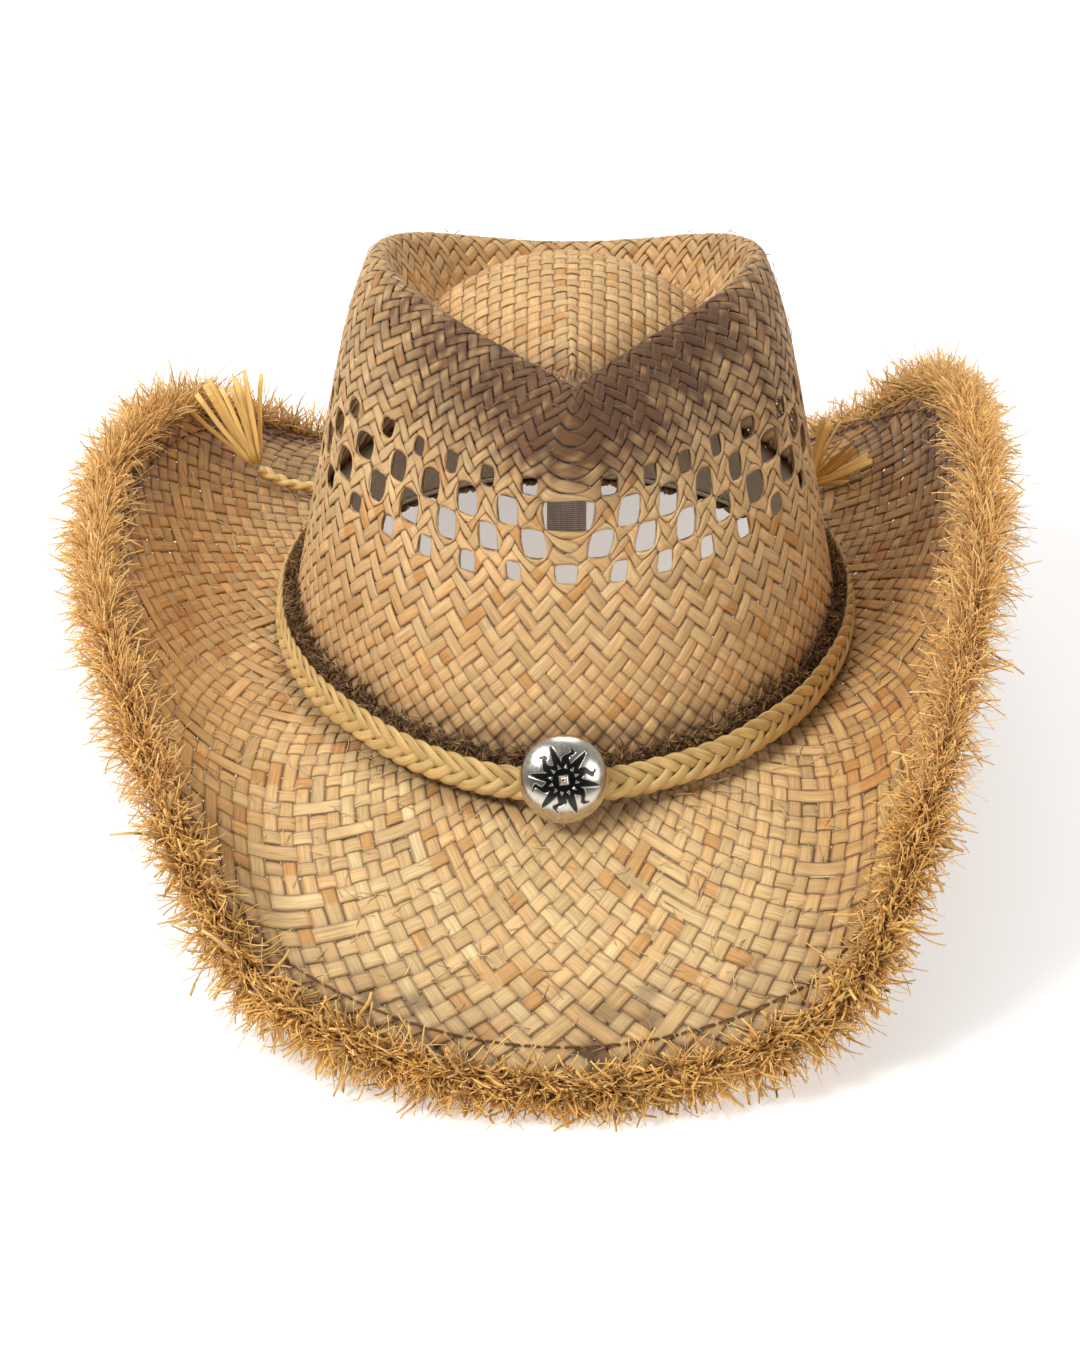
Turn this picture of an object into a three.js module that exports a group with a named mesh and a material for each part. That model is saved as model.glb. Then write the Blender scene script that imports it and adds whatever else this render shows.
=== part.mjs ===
// Straw cowboy hat: a plaited raffia crown with a teardrop pinch and four rows of vents, a curled and
// wired brim with a frayed edge, an inner sweatband, and a loose plaited hatband that carries a round
// metal concho and ends in two tassels behind the crown.
// Millimetres, +Z up, front towards -Y. The origin is on the resting plane, under the middle of the hat.

import * as THREE from 'three';

const TURN = 2 * Math.PI;
const DEG = Math.PI / 180;

// Heights are measured from JOIN_Z, the height of the crown and brim join at the sides.
const JOIN_Z = 44;
const HEAD_HALF_WIDTH = 83;
const HEAD_HALF_LENGTH = 102;
const STRAW = 2;
const GAP = 0.4;

// The head opening isn't quite in the middle of the hat's box: these move the box's middle to the origin.
const FRAME_SHIFT_X = 9.95;
const FRAME_SHIFT_Y = 0.5;

// Crown
const TAPER = 0.0022;
const CREST_HALF_WIDTH = 59;
const CREST_FRONT = 77;
const CREST_BACK = 75;
const CREST_HEIGHT = 122;
const CREST_DROP_FRONT = 9;
const CREST_DROP_BACK = 25;
const NOTCH_OFFSET = 3;
const CREST_ROUND = 6;
const DOME_CENTRE_Y = 12;
const DOME_HEIGHT = 115;
const VALLEY_SCALE = 0.78;
const VENT_COLUMNS = 30;
const VENT_ROW_EDGES = [58.9, 66.5, 74.1, 81.9, 90];
const VENT_SIZES = [0.62, 0.84, 0.84, 0.55];

// Brim
const BRIM_COLUMNS = 60;
const BRIM_SIDE = 71.4;
const BRIM_FRONT = 98.5;
const BRIM_SQUARENESS = { front: 2.03, back: 1.91 };
const CURL_LEFT = { start: 72.5, radius: 73.3, frontTightening: 0.26, backTightening: 0.17 };
const CURL_RIGHT = { start: 65.6, radius: 56.8, frontTightening: 0.22, backTightening: 0.04 };
const SLOPE_START = 40;
const SLOPE_END = 190;
const SLOPE_FRONT = { join: 10.4, edge: 27.2 };
const SLOPE_BACK = { join: 7.5, edge: 30.4 };
const HEM_WIDTH = 12;
const WIRE_DIAMETER = 1.6;
const HEM_DROP = STRAW / 2 + WIRE_DIAMETER + 4 * GAP;
const HEM_THICKNESS = 1;
const FRINGE_REACH = 16;
const FRINGE_ROOT_GAP = 1.1;
const FRINGE_END_GAP = 0.15;
const FRINGE_BULGE = 4;
const FRINGE_SIDE_BULGE = 6;
const FRINGE_SPANS = {
  fringe_front: [-48, 48],
  fringe_right: [48, 132],
  fringe_back: [132, 228],
  fringe_left: [228, 312],
};

// Sweatband and label
const SWEATBAND_HEIGHT = 32;
const SWEATBAND_THICKNESS = 1.2;
const LABEL_WIDTH = 13;
const LABEL_LENGTH = 38;

// Hatband and concho
const BAND_HEIGHT = 10;
const BAND_THICKNESS = 3.4;
const BAND_RISE = 9;
const BAND_CLEARANCE = 2.2;
const KNOT_ROW_BOTTOM = 16.2;
const KNOT_ROW_TOP = 23;
const KNOT_ROW_THICKNESS = 0.6;
const WALL_LEAN = Math.atan(TAPER * (HEAD_HALF_LENGTH + STRAW));
const CONCHO_DIAMETER = 25;
const CONCHO_DOME = 4.4;
const CONCHO_TILT = 27;
const CONCHO_STANDOFF = 3.5;
const CONCHO_RISE = 3.6;
const CONCHO_RAYS = 12;
const LOOP_STRAP = 0.7;
const LOOP_WIDTH = 5;
const TAIL_DIAMETER = 5;

const hat = new THREE.Group();

function straw(colour, roughness = 0.8) {
  return new THREE.MeshStandardMaterial({ color: colour, roughness, metalness: 0 });
}

function metal(colour, roughness = 0.3) {
  return new THREE.MeshStandardMaterial({ color: colour, roughness, metalness: 1 });
}

function addPart(name, geometry, material, parent = hat) {
  const mesh = new THREE.Mesh(geometry, material);
  mesh.name = name;
  parent.add(mesh);
  return mesh;
}

// Six times the volume that a list of triangles encloses; it is negative when they face inwards.
function signedVolume(points, faces) {
  let sum = 0;
  const cross = new THREE.Vector3();
  for (const [a, b, c] of faces) {
    sum += cross.crossVectors(points[b], points[c]).dot(points[a]);
  }
  return sum;
}

function solid(points, faces) {
  const outward = signedVolume(points, faces) > 0;
  const geometry = new THREE.BufferGeometry();
  geometry.setAttribute('position', new THREE.Float32BufferAttribute(points.flatMap((p) => p.toArray()), 3));
  geometry.setIndex(faces.flatMap(([a, b, c]) => (outward ? [a, b, c] : [a, c, b])));
  geometry.computeVertexNormals();
  return geometry;
}

// Sweeps closed sections: each section is a list of points, and neighbours are joined by quads.
// A ring joins its last section to its first; an open sweep gets a flat cap at each end.
function sweep(sections, ring) {
  const around = sections[0].length;
  const points = sections.flat();
  const faces = [];
  const spans = ring ? sections.length : sections.length - 1;
  for (let i = 0; i < spans; i++) {
    const here = i * around;
    const next = ((i + 1) % sections.length) * around;
    for (let j = 0; j < around; j++) {
      const k = (j + 1) % around;
      faces.push([here + j, here + k, next + k]);
      faces.push([here + j, next + k, next + j]);
    }
  }
  if (!ring) {
    const last = (sections.length - 1) * around;
    for (let j = 1; j < around - 1; j++) {
      faces.push([0, j + 1, j]);
      faces.push([last, last + j, last + j + 1]);
    }
  }
  return solid(points, faces);
}

function angles(count, from = 0, to = TURN) {
  const closed = to - from >= TURN;
  const steps = closed ? count : count - 1;
  return Array.from({ length: count }, (_, i) => from + ((to - from) * i) / steps);
}

function smooth(x, from, to) {
  const t = Math.min(Math.max((x - from) / (to - from), 0), 1);
  return t * t * (3 - 2 * t);
}

// ---------------------------------------------------------------- brim surface

// Distance along y and drop in z after walking a length along the front-to-back arch of the brim.
function archWalk(length, slope) {
  const steps = 24;
  const stepLength = length / steps;
  let along = 0;
  let drop = 0;
  for (let k = 0; k < steps; k++) {
    const at = (k + 0.5) * stepLength;
    const ramp = Math.max(at - SLOPE_START, 0) / (HEAD_HALF_LENGTH - SLOPE_START);
    const beyond = (at - HEAD_HALF_LENGTH) / (SLOPE_END - HEAD_HALF_LENGTH);
    const angle = beyond < 0 ? slope.join * ramp ** 2 : slope.join + (slope.edge - slope.join) * beyond;
    along += Math.cos(angle * DEG) * stepLength;
    drop += Math.sin(angle * DEG) * stepLength;
  }
  return { along, drop };
}

// Middle of the brim's thickness. phi is 0 at the front and 90 degrees on the right (+X);
// share is 0 at the head opening and 1 at the outer edge.
function brimMiddle(phi, share) {
  const sin = Math.sin(phi);
  const cos = Math.cos(phi);
  const power = 2 / (cos > 0 ? BRIM_SQUARENESS.front : BRIM_SQUARENESS.back);
  const outerX = (HEAD_HALF_WIDTH + BRIM_SIDE) * Math.sign(sin) * Math.abs(sin) ** power;
  const outerY = -(HEAD_HALF_LENGTH + BRIM_FRONT) * Math.sign(cos) * Math.abs(cos) ** power;
  const flatX = THREE.MathUtils.lerp(HEAD_HALF_WIDTH * sin, outerX, share);
  const flatY = THREE.MathUtils.lerp(-HEAD_HALF_LENGTH * cos, outerY, share);
  const curl = flatX < 0 ? CURL_LEFT : CURL_RIGHT;
  const tightening = flatY < 0 ? curl.frontTightening : curl.backTightening;
  const tight = 1 - tightening * (flatY / HEAD_HALF_LENGTH) ** 2;
  const radius = curl.radius * Math.max(tight, 0.4);
  const turn = Math.max(Math.abs(flatX) - curl.start, 0) / radius;
  const walk = archWalk(Math.abs(flatY), flatY < 0 ? SLOPE_FRONT : SLOPE_BACK);
  const x = Math.sign(flatX) * (Math.min(Math.abs(flatX), curl.start) + radius * Math.sin(turn));
  const z = JOIN_Z + radius * (1 - Math.cos(turn)) - walk.drop;
  return new THREE.Vector3(x, Math.sign(flatY) * walk.along, z);
}

// Position, upward normal and outward direction of the brim.
function brimFrame(phi, share) {
  const step = 0.004;
  const here = brimMiddle(phi, share);
  const out = brimMiddle(phi, share + step).sub(brimMiddle(phi, share - step)).normalize();
  const along = brimMiddle(phi + step, share).sub(brimMiddle(phi - step, share)).normalize();
  const up = new THREE.Vector3().crossVectors(out, along).normalize();
  return { here, out, up };
}

function offBrim(frame, outward, upward) {
  return frame.here.clone().addScaledVector(frame.out, outward).addScaledVector(frame.up, upward);
}

function joinHeight(phi) {
  return brimMiddle(phi, 0).z;
}

// ---------------------------------------------------------------- crown surface

// Outside of the tapering oval wall at a height above the join.
function wallPoint(phi, height, outward = 0) {
  const scale = 1 - TAPER * height;
  const x = (HEAD_HALF_WIDTH + STRAW) * scale * Math.sin(phi);
  const y = -(HEAD_HALF_LENGTH + STRAW) * scale * Math.cos(phi);
  const normal = new THREE.Vector2(Math.sin(phi) / HEAD_HALF_WIDTH, -Math.cos(phi) / HEAD_HALF_LENGTH);
  normal.setLength(outward);
  return new THREE.Vector3(x + normal.x, y + normal.y, JOIN_Z + height);
}

// Highest line of the crown: a teardrop in plan, pinched to a notch at the front.
function crestPoint(phi) {
  const turn = Math.abs(Math.atan2(Math.sin(phi), Math.cos(phi)));
  const cos = Math.cos(phi);
  const pinch = smooth(turn, -8 * DEG, 110 * DEG);
  const x = CREST_HALF_WIDTH * Math.sin(phi) * pinch + NOTCH_OFFSET * Math.max(cos, 0) ** 4;
  const y = -(cos > 0 ? CREST_FRONT : CREST_BACK) * cos;
  const drop = (cos > 0 ? CREST_DROP_FRONT : CREST_DROP_BACK) * cos * cos;
  return new THREE.Vector3(x, y, JOIN_Z + CREST_HEIGHT - drop);
}

// The wall leans from the oval to the crest: gently at the pinched front, late at the sides.
function leaningWall(phi, height) {
  const crest = crestPoint(phi);
  const turn = Math.abs(Math.atan2(Math.sin(phi), Math.cos(phi)));
  const power = THREE.MathUtils.lerp(3.5, 14, smooth(turn, 55 * DEG, 100 * DEG));
  const share = Math.min(height / (crest.z - JOIN_Z), 1) ** power;
  const oval = wallPoint(phi, height);
  return new THREE.Vector3(
    THREE.MathUtils.lerp(oval.x, crest.x, share),
    THREE.MathUtils.lerp(oval.y, crest.y, share),
    oval.z,
  );
}

function valleyDepth(phi) {
  const cos = Math.cos(phi);
  return cos > 0 ? 26 - 21 * cos * cos : 26 - 10 * cos * cos;
}

// Inside the crest: the surface falls to a valley and rises to the dome. ring is 1 at the crest, 0 at the middle.
function tipPoint(phi, ring) {
  const crest = crestPoint(phi);
  const x = crest.x * ring;
  const y = DOME_CENTRE_Y + (crest.y - DOME_CENTRE_Y) * ring;
  const valley = crest.z - valleyDepth(phi);
  const domeTop = JOIN_Z + DOME_HEIGHT;
  const onDome = ring <= VALLEY_SCALE;
  const fall = (ring - VALLEY_SCALE) / (1 - VALLEY_SCALE);
  const z = onDome
    ? domeTop - (domeTop - valley) * (ring / VALLEY_SCALE) ** 2.2
    : THREE.MathUtils.lerp(valley, crest.z, smooth(fall, -0.15, 1));
  return new THREE.Vector3(x, y, z);
}

// Heights of the outside rows at one angle, from the join to the middle of the dome.
function crownColumn(phi) {
  const base = joinHeight(phi) - JOIN_Z + STRAW / 2 + 2 * GAP;
  const crest = crestPoint(phi);
  const top = crest.z - JOIN_Z;
  const column = [wallPoint(phi, base), wallPoint(phi, 22), wallPoint(phi, 41)];
  for (const edge of VENT_ROW_EDGES) {
    column.push(leaningWall(phi, edge));
  }
  column.push(leaningWall(phi, top - 2 * CREST_ROUND - 2));
  column.push(leaningWall(phi, top - CREST_ROUND));
  column.push(leaningWall(phi, top - 1.5));
  for (const ring of [0.95, 0.87, VALLEY_SCALE, 0.62, 0.4, 0.2]) {
    column.push(tipPoint(phi, ring));
  }
  return column;
}

const FIRST_VENT_ROW = 3;

function isVent(column, row) {
  const ventRow = row - FIRST_VENT_ROW;
  return ventRow >= 0 && ventRow < VENT_SIZES.length && (column + ventRow) % 2 === 0;
}

// Corners of the hole in a quad, shrunk towards its middle.
function ventCorners(corners, size) {
  const middle = new THREE.Vector3();
  corners.forEach((corner) => middle.addScaledVector(corner, 0.25));
  return corners.map((corner) => middle.clone().lerp(corner, size));
}

function makeCrown() {
  const halfColumn = TURN / (4 * VENT_COLUMNS);
  const columns = angles(2 * VENT_COLUMNS).map((phi) => crownColumn(phi - halfColumn));
  const across = columns.length;
  const rows = columns[0].length;
  const at = (skin, i, j) => skin[(i + across) % across][j];
  const inner = columns.map((column, i) =>
    column.map((point, j) => {
      const along = at(columns, i + 1, j).clone().sub(at(columns, i - 1, j));
      const climb = at(columns, i, Math.min(j + 1, rows - 1)).clone().sub(at(columns, i, Math.max(j - 1, 0)));
      const normal = along.cross(climb).normalize();
      return point.clone().addScaledVector(normal, -STRAW);
    }),
  );
  inner.forEach((column, i) => {
    column[0].z = columns[i][0].z;
  });
  const points = [...columns.flat(), ...inner.flat()];
  const innerStart = across * rows;
  const faces = [];
  const quad = (a, b, c, d) => faces.push([a, b, c], [a, c, d]);
  for (let i = 0; i < across; i++) {
    const k = (i + 1) % across;
    quad(i * rows, innerStart + i * rows, innerStart + k * rows, k * rows);
    for (let j = 0; j < rows - 1; j++) {
      const outside = [i * rows + j, k * rows + j, k * rows + j + 1, i * rows + j + 1];
      const inside = outside.map((index) => innerStart + index);
      if (!isVent(i, j)) {
        quad(...outside);
        quad(...inside.toReversed());
        continue;
      }
      const size = VENT_SIZES[j - FIRST_VENT_ROW];
      const outerHole = points.length;
      points.push(...ventCorners(outside.map((index) => points[index]), size));
      const innerHole = points.length;
      points.push(...ventCorners(inside.map((index) => points[index]), size));
      for (let c = 0; c < 4; c++) {
        const d = (c + 1) % 4;
        quad(outside[c], outside[d], outerHole + d, outerHole + c);
        quad(inside[d], inside[c], innerHole + c, innerHole + d);
        quad(outerHole + c, outerHole + d, innerHole + d, innerHole + c);
      }
    }
  }
  const outerPole = points.length;
  points.push(new THREE.Vector3(0, DOME_CENTRE_Y, JOIN_Z + DOME_HEIGHT));
  points.push(new THREE.Vector3(0, DOME_CENTRE_Y, JOIN_Z + DOME_HEIGHT - STRAW));
  for (let i = 0; i < across; i++) {
    const k = (i + 1) % across;
    faces.push([i * rows + rows - 1, k * rows + rows - 1, outerPole]);
    faces.push([innerStart + k * rows + rows - 1, innerStart + i * rows + rows - 1, outerPole + 1]);
  }
  return solid(points, faces);
}

// ---------------------------------------------------------------- brim, hem, wire and fringe

function shares(count) {
  return Array.from({ length: count }, (_, i) => i / (count - 1));
}

function makeBrim() {
  const sections = angles(BRIM_COLUMNS).map((phi) => {
    const frames = shares(11).map((share) => brimFrame(phi, share));
    const top = frames.map((frame) => offBrim(frame, 0, STRAW / 2));
    const bottom = frames.map((frame) => offBrim(frame, 0, -STRAW / 2));
    return [...top, ...bottom.reverse()];
  });
  return sweep(sections, true);
}

// A flat ring that follows the brim between two distances from its edge.
function ringOnBrim(from, to, low, high) {
  const sections = angles(BRIM_COLUMNS).map((phi) => {
    const inner = brimFrame(phi, 1 + from / BRIM_FRONT);
    const outer = brimFrame(phi, 1 + to / BRIM_FRONT);
    return [offBrim(inner, 0, low), offBrim(outer, 0, low), offBrim(outer, 0, high), offBrim(inner, 0, high)];
  });
  return sweep(sections, true);
}

function makeWire() {
  const sides = 6;
  const middle = -(STRAW / 2 + 1.5 * GAP + WIRE_DIAMETER / 2);
  const sections = angles(BRIM_COLUMNS).map((phi) => {
    const frame = brimFrame(phi, 1 - 2.5 / BRIM_FRONT);
    return angles(sides).map((turn) =>
      offBrim(frame, (Math.cos(turn) * WIRE_DIAMETER) / 2, middle + (Math.sin(turn) * WIRE_DIAMETER) / 2),
    );
  });
  return sweep(sections, true);
}

// One length of the frayed edging. Where it would go through the resting plane it lies flat on it.
function makeFringe([from, to]) {
  const rest = (point, floor) => {
    point.z = Math.max(point.z, floor);
    return point;
  };
  const outline = (bulge) => [
    [FRINGE_ROOT_GAP, -4.4],
    [FRINGE_REACH * 0.6, -bulge],
    [FRINGE_REACH, 2.2 - bulge],
    [FRINGE_REACH, 1.8],
    [FRINGE_REACH * 0.6, 4],
    [FRINGE_ROOT_GAP, 3],
  ];
  const floors = [0, 0, 0, 3, 3, 3];
  const columnTurn = 360 / BRIM_COLUMNS;
  const turns = angles((to - from) / columnTurn + 1, from * DEG, to * DEG);
  turns[0] += FRINGE_END_GAP * DEG;
  turns[turns.length - 1] -= FRINGE_END_GAP * DEG;
  const sections = turns.map((phi) => {
    const frame = brimFrame(phi, 1);
    const bulge = FRINGE_BULGE + FRINGE_SIDE_BULGE * smooth(Math.abs(Math.sin(phi)), 0.74, 1);
    return outline(bulge).map(([outward, upward], i) => rest(offBrim(frame, outward, upward), floors[i]));
  });
  return sweep(sections, false);
}

// ---------------------------------------------------------------- sweatband

function ringOnWall(from, to, innerOffset, outerOffset, count = 60, lift = () => 0) {
  const sections = angles(count).map((phi) => {
    const low = from + lift(phi);
    const high = to + lift(phi);
    return [
      wallPoint(phi, low, innerOffset),
      wallPoint(phi, low, outerOffset),
      wallPoint(phi, high, outerOffset),
      wallPoint(phi, high, innerOffset),
    ];
  });
  return sweep(sections, true);
}

const followJoin = (phi) => joinHeight(phi) - JOIN_Z;

function makeLabel() {
  const face = -STRAW - GAP - SWEATBAND_THICKNESS - GAP;
  const top = wallPoint(Math.PI, 12, face);
  const geometry = new THREE.BoxGeometry(LABEL_WIDTH, 0.8, LABEL_LENGTH);
  geometry.translate(0, top.y - 0.4, top.z - LABEL_LENGTH / 2);
  return geometry;
}

// ---------------------------------------------------------------- hatband

function bandCentre(phi) {
  return wallPoint(phi, BAND_RISE + followJoin(phi), BAND_CLEARANCE + BAND_THICKNESS / 2);
}

function makeBraid() {
  const profile = [
    [-0.5, -0.25],
    [-0.3, -0.5],
    [0.3, -0.5],
    [0.5, -0.25],
    [0.5, 0.25],
    [0.3, 0.5],
    [-0.3, 0.5],
    [-0.5, 0.25],
  ];
  const sections = angles(60).map((phi) =>
    profile.map(([upward, outward]) =>
      wallPoint(
        phi,
        BAND_RISE + followJoin(phi) + upward * BAND_HEIGHT,
        BAND_CLEARANCE + BAND_THICKNESS * (outward + 0.5),
      ),
    ),
  );
  return sweep(sections, true);
}

function tube(route, diameter, steps, sides = 8) {
  const curve = new THREE.CatmullRomCurve3(route.map((point) => new THREE.Vector3(...point)));
  const section = new THREE.Shape().setFromPoints(
    angles(sides).map((turn) => new THREE.Vector2(Math.cos(turn), Math.sin(turn)).multiplyScalar(diameter / 2)),
  );
  return new THREE.ExtrudeGeometry(section, { steps, extrudePath: curve });
}

// The two loose ends of the braid, from the knot behind the crown to their tassels.
const KNOT_PLACE = [0, 113.5, 50.5];
const TAIL_LEFT = [
  [-7.6, 114.2, 50],
  [-14, 115.2, 47.6],
  [-21, 115.8, 45],
  [-29, 115, 43.8],
  [-37, 113, 43.9],
  [-45, 110, 44.4],
  [-53, 105.6, 45.1],
  [-60.5, 100, 45.9],
  [-68, 93.6, 46.6],
  [-75.5, 87.2, 47.3],
  [-83, 82.4, 48.4],
  [-89.5, 81.4, 49.9],
  [-95, 82.2, 51.9],
  [-99.6, 83.6, 54.2],
];
const TAIL_RIGHT = [
  [7.6, 114.2, 50],
  [14, 115, 47.6],
  [21, 115.2, 45],
  [29, 114, 43.9],
  [37, 111.6, 44.1],
  [45, 108.2, 44.7],
  [52.5, 103.6, 45.4],
  [59.5, 97.6, 46.2],
  [66, 91.2, 46.9],
  [72.5, 86.4, 47.8],
  [78.5, 84.4, 49.4],
];

// A tassel: a flat fan of splayed ends that widens along its direction.
function makeTassel(from, to, startWidth, endWidth, startThickness, endThickness) {
  const start = new THREE.Vector3(...from);
  const end = new THREE.Vector3(...to);
  const along = end.clone().sub(start);
  const side = new THREE.Vector3().crossVectors(along, new THREE.Vector3(0, 1, 0)).normalize();
  const thick = new THREE.Vector3().crossVectors(along, side).normalize();
  const sections = shares(5).map((share) => {
    const centre = start.clone().addScaledVector(along, share);
    const width = THREE.MathUtils.lerp(startWidth, endWidth, share ** 0.8) / 2;
    const depth = THREE.MathUtils.lerp(startThickness, endThickness, share) / 2;
    return [[-1, 0], [-0.6, -1], [0.6, -1], [1, 0], [0.6, 1], [-0.6, 1]].map(([w, d]) =>
      centre.clone().addScaledVector(side, w * width).addScaledVector(thick, d * depth),
    );
  });
  return sweep(sections, false);
}

// ---------------------------------------------------------------- concho

// Height of the dome above its back, for a distance from its middle.
function domeHeight(radius) {
  const rim = CONCHO_DIAMETER / 2;
  return 1.2 + CONCHO_DOME * (1 - (radius / rim) ** 2) ** 0.7;
}

function makeDome() {
  const rim = CONCHO_DIAMETER / 2;
  const profile = [new THREE.Vector2(0, 0), new THREE.Vector2(rim - 0.6, 0), new THREE.Vector2(rim, 0.5)];
  for (let k = 0; k <= 6; k++) {
    const radius = rim * (1 - k / 6);
    profile.push(new THREE.Vector2(radius, k === 0 ? 1.2 : domeHeight(radius)));
  }
  return new THREE.LatheGeometry(profile, 28);
}

// Blackened sunburst: a star-shaped sheet that follows the dome. Its rays alternate in length.
function makeSunburst() {
  const spokes = CONCHO_RAYS * 2;
  const inside = 1.6;
  const ringRadii = (i) => (i % 2 ? [inside, 3.1, 3.6] : [inside, 5, i % 4 ? 7.6 : 9.2]);
  const low = [];
  const high = [];
  for (let i = 0; i < spokes; i++) {
    const turn = (TURN * i) / spokes;
    for (const radius of ringRadii(i)) {
      const height = domeHeight(radius) + 0.3;
      low.push(new THREE.Vector3(radius * Math.cos(turn), height, radius * Math.sin(turn)));
      high.push(new THREE.Vector3(radius * Math.cos(turn), height + 0.25, radius * Math.sin(turn)));
    }
  }
  const rings = 3;
  const points = [...low, ...high];
  const highStart = low.length;
  const faces = [];
  const quad = (a, b, c, d) => faces.push([a, b, c], [a, c, d]);
  for (let i = 0; i < spokes; i++) {
    const k = (i + 1) % spokes;
    for (let j = 0; j < rings - 1; j++) {
      const a = i * rings + j;
      const b = k * rings + j;
      quad(highStart + a, highStart + b, highStart + b + 1, highStart + a + 1);
      quad(a, a + 1, b + 1, b);
    }
    quad(i * rings, k * rings, highStart + k * rings, highStart + i * rings);
    const edgeHere = i * rings + rings - 1;
    const edgeNext = k * rings + rings - 1;
    quad(edgeNext, edgeHere, highStart + edgeHere, highStart + edgeNext);
  }
  return solid(points, faces);
}

function makeStud() {
  const geometry = new THREE.CylinderGeometry(0.7, 1.8, 1.5, 4);
  geometry.translate(0, domeHeight(0) + 0.3 + 0.25 + 0.3 + 0.75, 0);
  return geometry;
}

// The loop behind the dome that the braid runs through: a flat strap bent into a C.
function makeLoop() {
  const strap = LOOP_STRAP;
  const backY = BAND_THICKNESS / 2 + GAP + strap;
  const half = BAND_HEIGHT / 2 + 0.6;
  const faceLean = Math.tan(CONCHO_TILT * DEG - WALL_LEAN);
  const domeBack = (z) => (z - CONCHO_RISE) * faceLean - BAND_THICKNESS / 2 - CONCHO_STANDOFF;
  const front = (z) => [domeBack(z) + GAP, z];
  const outline = [
    front(half),
    front(half + strap),
    [backY, half + strap],
    [backY, -half - strap],
    front(-half - strap),
    front(-half),
    [backY - strap, -half],
    [backY - strap, half],
  ];
  const shape = new THREE.Shape(outline.map(([y, z]) => new THREE.Vector2(y, z)));
  const geometry = new THREE.ExtrudeGeometry(shape, { depth: LOOP_WIDTH, bevelEnabled: false });
  geometry.translate(0, 0, -LOOP_WIDTH / 2);
  const swap = new THREE.Matrix4().makeBasis(
    new THREE.Vector3(0, 1, 0),
    new THREE.Vector3(0, 0, 1),
    new THREE.Vector3(1, 0, 0),
  );
  return geometry.applyMatrix4(swap);
}

// ---------------------------------------------------------------- assembly

const RAFFIA = 0xc9a46a;
const DARK_RAFFIA = 0x6e5236;
const PALE_RAFFIA = 0xd9b878;
const COTTON = 0x8b7a62;
const SILVER = 0xb9b4aa;

addPart('crown', makeCrown(), straw(RAFFIA));
addPart('brim', makeBrim(), straw(RAFFIA));
addPart('brim_hem', ringOnBrim(-HEM_WIDTH, -1, -HEM_DROP - HEM_THICKNESS, -HEM_DROP), straw(RAFFIA));
addPart('brim_wire', makeWire(), metal(0x777777, 0.5));
const stitchLift = STRAW / 2 + 2 * GAP;
addPart('hem_stitching', ringOnBrim(-HEM_WIDTH, -HEM_WIDTH + 0.9, stitchLift, stitchLift + 0.5), straw(DARK_RAFFIA));
addPart('join_knots', ringOnWall(KNOT_ROW_BOTTOM, KNOT_ROW_TOP, GAP, GAP + KNOT_ROW_THICKNESS, 60, followJoin),
  straw(DARK_RAFFIA));

for (const [name, span] of Object.entries(FRINGE_SPANS)) {
  addPart(name, makeFringe(span), straw(PALE_RAFFIA));
}

const sweatOuter = -STRAW - GAP;
const sweatInner = sweatOuter - SWEATBAND_THICKNESS;
addPart('sweatband', ringOnWall(2, 2 + SWEATBAND_HEIGHT, sweatInner, sweatOuter, 60, followJoin), straw(COTTON));
addPart('sweatband_stitching', ringOnWall(3.4, 4.2, sweatInner - 0.7, sweatInner - 0.3, 48, followJoin),
  straw(PALE_RAFFIA));
addPart('sweatband_label', makeLabel(), straw(0x6b5a50));

addPart('hatband_braid', makeBraid(), straw(PALE_RAFFIA));
const knot = new THREE.SphereGeometry(5, 12, 8);
knot.scale(1.3, 0.62, 1.1);
knot.translate(...KNOT_PLACE);
addPart('hatband_knot', knot, straw(PALE_RAFFIA));
addPart('tail_left', tube(TAIL_LEFT, TAIL_DIAMETER, 14), straw(PALE_RAFFIA));
addPart('tail_right', tube(TAIL_RIGHT, TAIL_DIAMETER, 10), straw(PALE_RAFFIA));
addPart('tassel_left', makeTassel([-102.4, 85.2, 58.6], [-112.5, 97, 80], 5.5, 17, 4, 4), straw(PALE_RAFFIA));
addPart('tassel_right', makeTassel([81.4, 85.4, 52.6], [94.4, 89.6, 64.6], 5.5, 17, 4, 5), straw(PALE_RAFFIA));

// The concho leans with the front of the crown wall, and its face leans back a little more.
const concho = new THREE.Group();
concho.position.copy(bandCentre(0));
concho.rotation.x = -WALL_LEAN;
addPart('concho_loop', makeLoop(), metal(SILVER, 0.4), concho);
const face = new THREE.Group();
face.position.set(0, -BAND_THICKNESS / 2 - CONCHO_STANDOFF, CONCHO_RISE);
face.rotation.x = 180 * DEG - (CONCHO_TILT * DEG - WALL_LEAN);
addPart('concho_dome', makeDome(), metal(SILVER), face);
addPart('concho_sunburst', makeSunburst(), metal(0x1c1a18, 0.5), face);
addPart('concho_stud', makeStud(), metal(SILVER), face);
concho.add(face);
hat.add(concho);

hat.position.set(FRAME_SHIFT_X, FRAME_SHIFT_Y, 0);
hat.updateMatrixWorld(true);

export default hat;
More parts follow.
